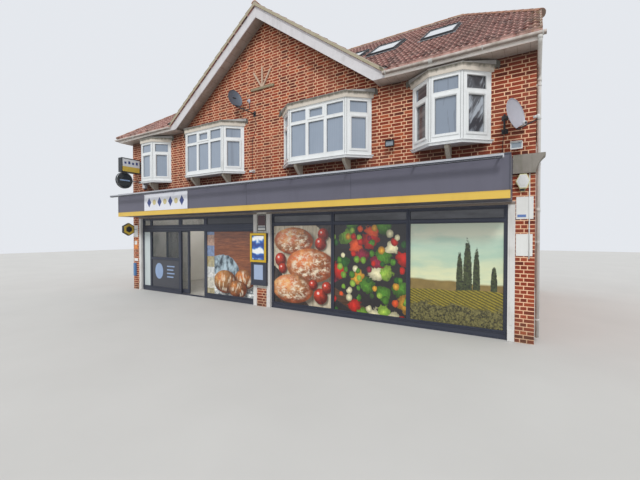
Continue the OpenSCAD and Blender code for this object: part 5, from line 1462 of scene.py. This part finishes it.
def produce_picture(s, z0):
    """Many bright garden things of two sizes on near black, with a crate's edge across."""
    add = s.add
    colour = add("Mix", add("TexNoise", s.place, 3, 5, 0.55), "151419", "2f2b2c")
    lean = add("Math MULTIPLY_ADD", s.x, 0.5, s.z)
    crate = add("Math MULTIPLY", add("MapRange", lean, z0 + 1.346, z0 + 1.354),
                add("MapRange", lean, z0 + 1.616, z0 + 1.624, 1, 0))
    colour = add("Mix", crate, colour, boards(s, 0.16, "6a4832", "3b2618", False))
    vein = add("TexNoise", add("Mapping", s.place, None, None, (1, 1, 0.35)), 30, 4, 0.7)
    vein = add("ValToRGB", vein, stops={0.3: "1c2014", 0.55: "909078", 0.8: "f8f4dc"})
    for size, seed, squash, cover, ragged, least in ((0.4, 1.3, 1.1, 0.4, 0.75, 0.15),
                                                     (0.17, 6.4, 0.9, 0.3, 0.25, 0.55)):
        # Scattered round things, each with its distance from a centre and its own tint
        place = add("CombineXYZ", add("Math ADD", s.x, seed), add("Math MULTIPLY", s.z, squash), 0)
        swirl = add("TexNoise", place, 2.2 / size, 4, 0.65).node.outputs["Color"]
        swirl = add("VectorMath SCALE", swirl, ragged * size)
        cells = add("TexVoronoi", add("VectorMath ADD", place, swirl), 1 / size, None, None, None, 0.85,
                    voronoi_dimensions="2D")
        kind, spread, chance = add("SeparateColor", cells.node.outputs["Color"]).node.outputs
        bright = add("ValToRGB", kind, interpolation="CONSTANT",
                     stops={0: "5c9a30", 0.14: "b4cf58", 0.26: "d62a1e", 0.4: "e8642c", 0.5: "e3bb3c",
                            0.6: "2f6a2c", 0.7: "ece6cc", 0.82: "a3274a", 0.91: "8fc044"})
        bright = add("Mix OVERLAY", 0.6, bright, vein)
        light = add("MapRange", cells, 0, 0.5, 1.25, 0.35)
        bright = add("Mix MULTIPLY", 1, bright, add("CombineColor", light, light, light))
        gap = add("Math SUBTRACT", cells, add("Math MULTIPLY_ADD", spread, 0.22, cover))
        shown = add("Math MULTIPLY", add("MapRange", gap, -0.02, 0.02, 1, 0),
                    add("MapRange", chance, least - 0.01, least + 0.01))
        colour = add("Mix", shown, colour, bright)
    return colour


def landscape_picture(s, x0, x1):
    """A pale sky with haze over a planted slope and slim dark trees."""
    add = s.add
    sky = add("ValToRGB", add("Math DIVIDE", s.z, 2.5),
              stops={0.36: "ece9b8", 0.52: "d6dcb4", 0.7: "bdd4bd", 0.8: "d8dcc4", 0.92: "b4bfaa"})
    haze = add("TexNoise", add("Mapping", s.place, None, None, (0.7, 1, 2.4)), 1.8, 4, 0.55)
    colour = s.lay(sky, "9cc2b0", haze, 0.42, 0.68, 0, 0.55)
    swell = add("TexNoise", add("Mapping", s.place, None, None, (1, 1, 0.01)), 0.9, 2, 0.55)
    hill = add("Mix", add("TexNoise", s.place, 7, 4, 0.55), "6f5b30", "9a8246")
    colour = add("Mix", add("MapRange", add("Math MULTIPLY_ADD", swell, -0.22, s.z), 0.9, 0.94, 1, 0),
                 colour, hill)
    leafy = add("TexNoise", s.place, 26, 4, 0.7)
    leaves = s.lay("14180f", "4a5430", leafy, 0.35, 0.65)
    for fx, top, half in ((0.56, 1.66, 0.07), (0.64, 1.92, 0.09), (0.73, 1.74, 0.07), (0.9, 1.4, 0.06)):
        far = add("Math MULTIPLY_ADD", leafy, 0.5, oval(s, x0 + fx * (x1 - x0), 0.95, half, top - 0.95))
        colour = s.lay(colour, leaves, far, 1.15, 1.25, 1, 0)
    rows = add("Math SINE", add("Math MULTIPLY", add("Math MULTIPLY_ADD", s.x, 0.45, s.z), 110))
    field = s.lay("55521a", "a89c3e", rows, -1, 1)
    field = add("Mix OVERLAY", 0.6, field, add("ValToRGB", add("TexNoise", s.place, 30, 4, 0.7),
                                               stops={0.3: "2e2a0e", 0.7: "d8c860"}))
    clump = add("TexNoise", add("Mapping", s.place, None, None, (1, 1, 2)), 2.6, 4, 0.7)
    clump = add("MapRange", add("Math MULTIPLY_ADD", clump, 0.9, s.z), 0.97, 1.07, 1, 0)
    scrub = s.lay("2a2812", "7d7644", leafy, 0.4, 0.6)
    field = add("Mix", clump, field, scrub)
    near = add("MapRange", add("Math MULTIPLY_ADD", swell, 0.22, s.z), 0.972, 0.988, 1, 0)
    return add("Mix", near, colour, field)


def shop_pictures():
    """The right shop front's printed panes: generic food colours, a dark sheet and a pale field."""
    s = Surface("printed_window_film", 0.18, coat=0.6)
    add = s.add
    (a0, a1, z0, z1), (b0, b1, _, _), (c0, c1, _, _) = sorted(p for p in RIGHT_PANES if p[2] < 1)
    colour = bread_picture(s, a0, a1, z0, z1)
    for edge, picture in (((a1 + b0) / 2, produce_picture(s, z0)),
                          ((b1 + c0) / 2, landscape_picture(s, c0, c1))):
        colour = s.lay(colour, picture, s.x, edge - 0.001, edge + 0.001)
    # Dark glass in the row of panes over the transom
    streak = add("TexNoise", add("Mapping", s.place, None, None, (0.6, 1, 2)), 2, 3, 0.55)
    band = s.lay("2a2b30", "55565c", streak, 0.35, 0.65)
    colour = s.lay(colour, band, s.z, 2.269, 2.271)
    return s.finish(s.lay(colour, "c9c7c0", s.ny, 0.499, 0.501))


def left_picture(x0, x1, z0, z1):
    """Brown boards over pale cloth and golden rounds, with plain notices down the left edge."""
    s = Surface("printed_left_film", 0.2, coat=0.5)
    add = s.add
    w, h = x1 - x0, z1 - z0
    colour = boards(s, 0.19, "a5613a", "5f3220", False)
    fold = add("TexNoise", add("Mapping", s.place, None, None, (5, 1, 3)), 1.4, 4, 0.55)
    cloth = s.lay("2f3c46", "b4c8d2", fold, 0.36, 0.62)
    hump = add("Math MULTIPLY_ADD", fold, 0.3, oval(s, x0 + 0.34 * w, z0 + 0.38 * h, 0.36 * w, 0.26 * h))
    colour = s.lay(colour, cloth, hump, 1.1, 1.14, 1, 0)
    crease = add("TexNoise", add("Mapping", s.place, None, None, (2, 1, 4)), 3.5, 4, 0.55)
    paper = s.lay("5f6a70", "f0f1ec", crease, 0.42, 0.6)
    edge = z0 + 0.27 * h + 0.18 * (x0 + x1) / 2
    slope_line = add("Math MULTIPLY_ADD", s.x, 0.18, s.z)
    colour = s.lay(colour, paper, slope_line, edge - 0.01, edge + 0.01, 1, 0)
    glaze = add("TexNoise", add("Mapping", s.place, None, None, (3, 1, 1)), 4, 3, 0.55)
    glaze = add("MapRange", glaze, 0.5, 0.6, 0, 0.7)
    for fx, fz, rx, inner in ((0.8, 0.28, 0.2, "d8904c"), (0.4, 0.22, 0.24, "dca45e"),
                              (0.66, 0.12, 0.18, "c88444")):
        colour = loaf(s, colour, x0 + fx * w, z0 + fz * h, rx * w, rx * w * 0.72, "6e3210", inner, glaze)
    patch = add("Math FLOOR", add("Math DIVIDE", s.z, 0.33))
    patch = add("TexWhiteNoise", add("CombineXYZ", patch, 4, 0))
    notice = add("ValToRGB", patch, interpolation="CONSTANT",
                 stops={0: "d8d2c0", 0.3: "c2a08c", 0.5: "7f9cc4", 0.72: "e4e4e0", 0.9: "b8a878"})
    shade = add("ValToRGB", add("TexNoise", s.place, 12, 2, 0.55), stops={0.35: "707070", 0.6: "ffffff"})
    notice = add("Mix MULTIPLY", 0.5, notice, shade)
    lane = x0 + 0.17 * w
    colour = s.lay(colour, notice, s.x, lane - 0.001, lane + 0.001, 0.85, 0)
    return s.finish(s.lay(colour, "c9c7c0", s.ny, 0.499, 0.501))


def case_picture():
    """A generic blue and white design of soft bands."""
    s = Surface("printed_case_sheet", 0.25, coat=0.6)
    add = s.add
    warp = add("Math MULTIPLY", add("TexNoise", s.place, 3, 2, 0.55), 9)
    wave = add("MapRange", add("Math SINE", add("Math MULTIPLY_ADD", s.z, 22, warp)), -1, 1)
    return s.finish(add("ValToRGB", wave, stops={0: "1f3f8a", 0.45: "2f66b8", 0.62: "8fb4dc",
                                                 0.85: "eef2f4", 1: "f4f6f6"}))


# Materials of the carried-over nodes, and the pieces added to them

def give(material, *nodes):
    for node in nodes:
        NODES[node].material_slots[0].material = material


# Roof: fired clay tiles with their courses counted from each slope's foot
street_clay = tile_surface("pressed_clay_tiles_street", "x", PITCH, EAVE_Z, -EAVE_Y)
gable_clay = tile_surface("pressed_clay_tiles_gable", "y", PITCH, EAVE_Z, GABLE_HALF)
left_clay = tile_surface("pressed_clay_tiles_left_hip", "y", LEFT_PITCH, EAVE_Z, -LEFT_X)
half_clay = tile_surface("pressed_clay_tiles_half_hip", "y", HALF_PITCH, HIP_Z, RIGHT_X)
give(street_clay, "front_roof", "rear_roof")
give(gable_clay, "gable_roof")
give(left_clay, "left_hip")
give(half_clay, "right_half_hip")
tile_sheets(street_clay, gable_clay, left_clay, half_clay)
# Rough pale mortar, trowelled under the tiles' ends, and duller where it beds the ridges and hips
verge_mortar = worn("trowelled_verge_mortar", "b3a594", "6f665a", 0.9, amount=0.8, scale=6, fine=0.004)
ridge_mortar = worn("trowelled_ridge_mortar", "a89c8c", "6f665a", 0.9, amount=0.8, scale=6, fine=0.004)
hip_mortar = worn("trowelled_hip_mortar", "7a675b", "574a42", 0.9, amount=0.8, scale=6, fine=0.004)
give(ridge_mortar, "ridge_tiles")
give(hip_mortar, "hip_tiles")
# Dressed lead keeps a low shine in the valleys
verges(verge_mortar, worn("dressed_valley_lead", "8b8c8d", "55534c", 0.55, 0.35, amount=0.8, scale=5))
# The ridge's clay is warmer and paler than the hips'
ridges(ridge_surface("pressed_ridge_clay", "ae7456", "cfa88e", "8c7a60"),
       ridge_surface("pressed_hip_clay", "8f6250", "ab7c66", "8c8064"))
# Folded grey aluminium with a dull metal shine, over a lead apron dressed to the tiles
window_flashings(worn("folded_aluminium_flashing", "5a5d60", "3a3c3e", 0.45, 0.6),
                 worn("dressed_apron_lead", "85878a", "5c5b56", 0.5, 0.4, amount=0.7, scale=8))
give(worn("painted_aluminium_frame", "54575b", "3a3c3f", 0.4, 0.5, amount=0.4), "roof_windows")
give(skylight_glass(), "roof_window_glass")

# Walls, floors and corbel
give(brick_surface("wire_cut_brick"), "left_wall", "right_wall", "rear_wall", "front_wall", "gable_wall")
give(brick_surface("painted_wire_cut_brick", True), "shop_piers")
give(floor_tiles(), "ground_floor")
give(floor_boards("planed_floor_boards"), "first_floor")
give(floor_boards("planed_loft_boards"), "loft_floor")
give(concrete("cast_corbel_concrete", "a19b92", "756f67"), "corbel")

# Eaves: gloss white on the fascia boards, raised to a brighter white as painted light, and a greyer white on
# the bargeboards
give(worn("gloss_white_boards", "fbf5ef", "b5ada3", 0.42, amount=0.6, scale=2.2, streak=4), "eaves_boards")
give(worn("greyer_white_boards", "d0cdce", "87827d", 0.42, amount=0.7, scale=2.2, streak=4),
     "bargeboards")
give(soffit_surface(), "eaves_soffits", "gable_soffit")
give(gutter_surface(), "gutters", "downpipes")
# Moulded brackets and extruded pipes: satin white, with grey rain dirt
gutter_brackets(worn("moulded_bracket_plastic", "c9c7c2", "8d887c", 0.45, amount=0.6))
downpipes(worn("extruded_pipe_plastic", "cfcdc8", "87816f", 0.42, amount=0.7, streak=3))

# Extruded white frames, smooth enough for a soft shine
upvc = worn("extruded_white_upvc", "e4e6e5", "a9aba5", 0.28, coat=0.25, amount=0.45, scale=2, streak=5)
# Extruded rubber, matt and near black, draws a line round each pane
rubber = worn("extruded_gasket_rubber", "2b2c2f", "191a1b", 0.6)
# Milled lead, grey with pale runs, and old lead gone brown against the wall
lead = worn("milled_lead_sheet", "a3a19e", "6c675f", 0.5, 0.25, amount=0.8, scale=5, streak=7, fine=0.002)
old_lead = worn("stained_milled_lead", "5d5a52", "413f38", 0.6, 0.1, amount=0.7, scale=8)
# Brushed steel, the brightest metal
steel = worn("brushed_steel", "b4b5b6", "77787a", 0.3, 0.9, amount=0.4, scale=8)
give(upvc, "left_small_bay", "left_large_bay", "right_large_bay", "right_small_bay", "bay_sills",
     "rear_windows")
give(window_glass("curtained_bay_glass", "99a5b4", "7a8695"), "bay_glass")
give(window_glass("curtained_rear_glass", "a1acba", "808b9a"), "rear_glass")
give(lead, "bay_roofs")
give(timber("planed_cream_timber", "e6dfce", "bfb49e"), "bay_brackets")
bay_details(upvc, head_board(), rubber, lead, old_lead)

# Shop fronts: slate powder coat with a faint metal shine, between brushed white posts
slate = worn("slate_powder_coat", "414552", "5c5d64", 0.36, 0.35, amount=0.4, scale=2.5)
post_paint = worn("brushed_white_paint", "d8d6d2", "a39d92", 0.45, amount=0.55)
give(slate, "left_shopfront", "right_shopfront", "sliding_door", "door_track")
give(post_paint, "shop_surrounds")
give(clear_glass("polished_door_glass", "27323a", 0.3), "door_glass")
give(clear_glass("polished_shop_glass", "27323a", 0.3), "left_shop_glass")
give(shop_pictures(), "right_shop_glass")
# The strip over the posts is bare, dull brown paint
shop_details(slate, rubber, steel, post_paint,
             worn("dull_strip_paint", "85796f", "625a52", 0.55, amount=0.6))

# The left front's films: a frosted strip, a dark panel with a plain oval, and the picture window
PANE_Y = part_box("left_shop_glass")[0][1]
PANE = street(PANE_Y)


def film_sheet(name, rect, material):
    bm = bmesh.new()
    slab(bm, PANE, *grown(rect, -0.003), 0.0005, 0.003)
    piece(name, bm, material)


lower_panes = sorted(p for p in LEFT_PANES if p[2] < 2.2)
graphite = film("graphite_film", "3c3e46", "2b2c31")
pale_blue = film("pale_blue_film", "8fa6c8", "5f769c")
dark_pane = min((p for p in lower_panes if -5.4 < p[0] < -4), key=lambda p: p[2])
film_sheet("frosted_strip", lower_panes[0], film("frosted_film", "c3cccb", "98a3a3"))
film_sheet("dark_panel", dark_pane, graphite)
bm = bmesh.new()
motif_z = (dark_pane[2] + dark_pane[3]) / 2 + 0.08
spot = at(dark_pane[0] + 0.42, PANE_Y - 0.002, motif_z)
stub(bm, spot, -Y * 0.003, 0.22, 48, smooth=False)
bmesh.ops.scale(bm, vec=(1, 1, 1.25), space=Matrix.Translation(-spot), verts=bm.verts)
for k in range(4):
    z = motif_z + 0.16 - k * 0.12
    slab(bm, PANE, dark_pane[0] + 0.86, dark_pane[0] + 1.26 - 0.06 * (k % 2), z, z + 0.04, 0.002, 0.005)
piece("panel_motif", bm, pale_blue)
film_sheet("picture_window", lower_panes[-1], left_picture(*lower_panes[-1]))
film_sheet("top_band", sorted(p for p in LEFT_PANES if p[2] > 2.2)[3], graphite)

# Fascia: folded sheet in flat grey, a sunny yellow band, and a pale gloss panel with printed shapes
band_yellow = worn("powder_coated_yellow", "dcb850", "b08f3c", 0.38, amount=0.4, scale=2, streak=3)
panel_white = worn("gloss_white_panel", "dfe0e6", "b9bac2", 0.3, coat=0.2, amount=0.35, scale=2)
navy = worn("printed_navy", "2b3c78", "223062", 0.35, coat=0.2, amount=0.3)
pale_gold = worn("printed_gold", "c9bb86", "a5966a", 0.35, coat=0.2, amount=0.3)
give(worn("folded_grey_sheet", "62616e", "4c4b55", 0.42, 0.1, amount=0.45, scale=1.2, streak=3), "fascia")
give(band_yellow, "fascia_band")
give(panel_white, "sign_panel")
# Darker extruded trims draw the fascia's edges
fascia_details(worn("extruded_grey_trim", "4e4f5a", "3a3b42", 0.4, 0.2, amount=0.4), band_yellow, panel_white,
               [navy, pale_gold])
# Folded alloy, pale and smooth, round a near black lens
alloy = worn("folded_trough_alloy", "c6c8cd", "8f9094", 0.4, 0.2, scale=2)
give(alloy, "light_trough")
trough_details(alloy, worn("moulded_trough_lens", "33353f", "24262d", 0.35))

# Rear doors in sprayed off-white, over cast sills
door_paint = worn("sprayed_door_paint", "c9cacb", "8f8c86", 0.4)
give(door_paint, "rear_doors")
rear_details(upvc, rubber, steel, concrete("cast_sill_concrete", "a39d92", "7d776d"), door_paint)

# Fixtures: pressed steel dishes in dull slate and pale grey, moulded plastic in black and white
dish_dark = worn("pressed_dark_dish", "5d6571", "3f454d", 0.5, 0.15)
black = worn("moulded_black_plastic", "2d2f33", "1e1f22", 0.5, amount=0.4)
white = worn("moulded_white_plastic", "d9d9d6", "a8a59c", 0.35, amount=0.4)
give(dish_dark, "satellite_dishes")
dishes(dish_dark, worn("pressed_pale_dish", "aeadb5", "85858c", 0.45, 0.1), black, white)
# Sun-yellowed plastic round the alarm's white face
give(worn("moulded_cream_plastic", "d8d5a4", "a8a37c", 0.4, amount=0.4), "alarm_box")
# Die-cast bodies with a satin grey coat
give(worn("die_cast_lamp_body", "6e7074", "4c4e52", 0.45, 0.3, amount=0.4), "floodlights")
fixtures(white, black, clear_glass("pressed_lamp_glass", "8f9aa3", 0.9, 0.1))
# Printed boards in plain colours, and a blue painted steel box low on the pier
pier_boards(film("printed_white_board", "e2e2de", "b5b2aa"), film("printed_blue_board", "5f7cb4", "465e90"),
            film("printed_orange_board", "d9822e", "a8451f"),
            worn("painted_blue_box", "4f79a8", "37587c", 0.45), black,
            film("printed_maroon_film", "4a2a30", "33191f"), film("printed_grey_film", "8d8f93", "6c6e72"))
# Yellow coated case frames on dark steel bodies
give(worn("coated_case_body", "3f434b", "2e3036", 0.45, 0.2, amount=0.4), "notice_cases")
case_details(worn("coated_case_yellow", "d6b02c", "9a7f26", 0.4, 0.1, amount=0.4), case_picture(), slate,
             film("printed_pale_sheet", "9fb0cc", "7f8fae"))
give(sunburst_surface(), "sunburst")
give(black, "corner_signs")
# The corner signs: coated dark cases with gloss faces in white, yellow and near black
corner_signs(worn("coated_sign_case", "35383c", "222427", 0.42, 0.2, amount=0.4),
             worn("gloss_sign_white", "d5d6d8", "a9a9a8", 0.32, coat=0.2, amount=0.4),
             worn("gloss_sign_yellow", "cfb04a", "9c8430", 0.35, amount=0.4), navy, steel,
             worn("gloss_sign_black", "23272c", "3f454a", 0.25, coat=0.4), pale_blue)
ceiling_lights(glow_surface("frosted_light_tube", "f6f8ff", 13), white)


# Camera, as fitted to the photograph's vanishing points, and soft studio light

def placed(name, data, location=(0, 0, 0), tilt=0, turn=0):
    ob = bpy.data.objects.new(name, data)
    ob.location = location
    ob.rotation_euler = (math.radians(tilt), 0, math.radians(turn))
    bpy.context.scene.collection.objects.link(ob)
    return ob


lens = bpy.data.cameras.new("camera")
lens.sensor_width = 36
lens.lens = 348 / 640 * 36
lens.clip_end = 500
bpy.context.scene.camera = placed("camera", lens, (6.27, -11.114, 2), 89.05, 31.47)
bpy.context.scene.view_settings.view_transform = "Standard"

world = bpy.data.worlds.new("world")
bpy.context.scene.world = world
world.use_nodes = True
sky = world.node_tree.nodes["Background"]
sky.inputs["Color"].default_value = (0.92, 0.95, 1, 1)
sky.inputs["Strength"].default_value = 0.85
sun = bpy.data.lights.new("key", "SUN")
sun.energy = 1.5
sun.angle = math.radians(12)
placed("key", sun, tilt=48, turn=24)

# A plain pale floor, for the shadows alone
paving = Surface("plain_floor", 0.8)
pale_floor = paving.finish(paving.add("Mix", paving.add("TexNoise", paving.place, 0.6, 3, 0.55), "c4c2bd",
                                      "cfcdc8"))
bm = bmesh.new()
bmesh.ops.create_grid(bm, x_segments=1, y_segments=1, size=40)
new_object("floor", bm, pale_floor, False)
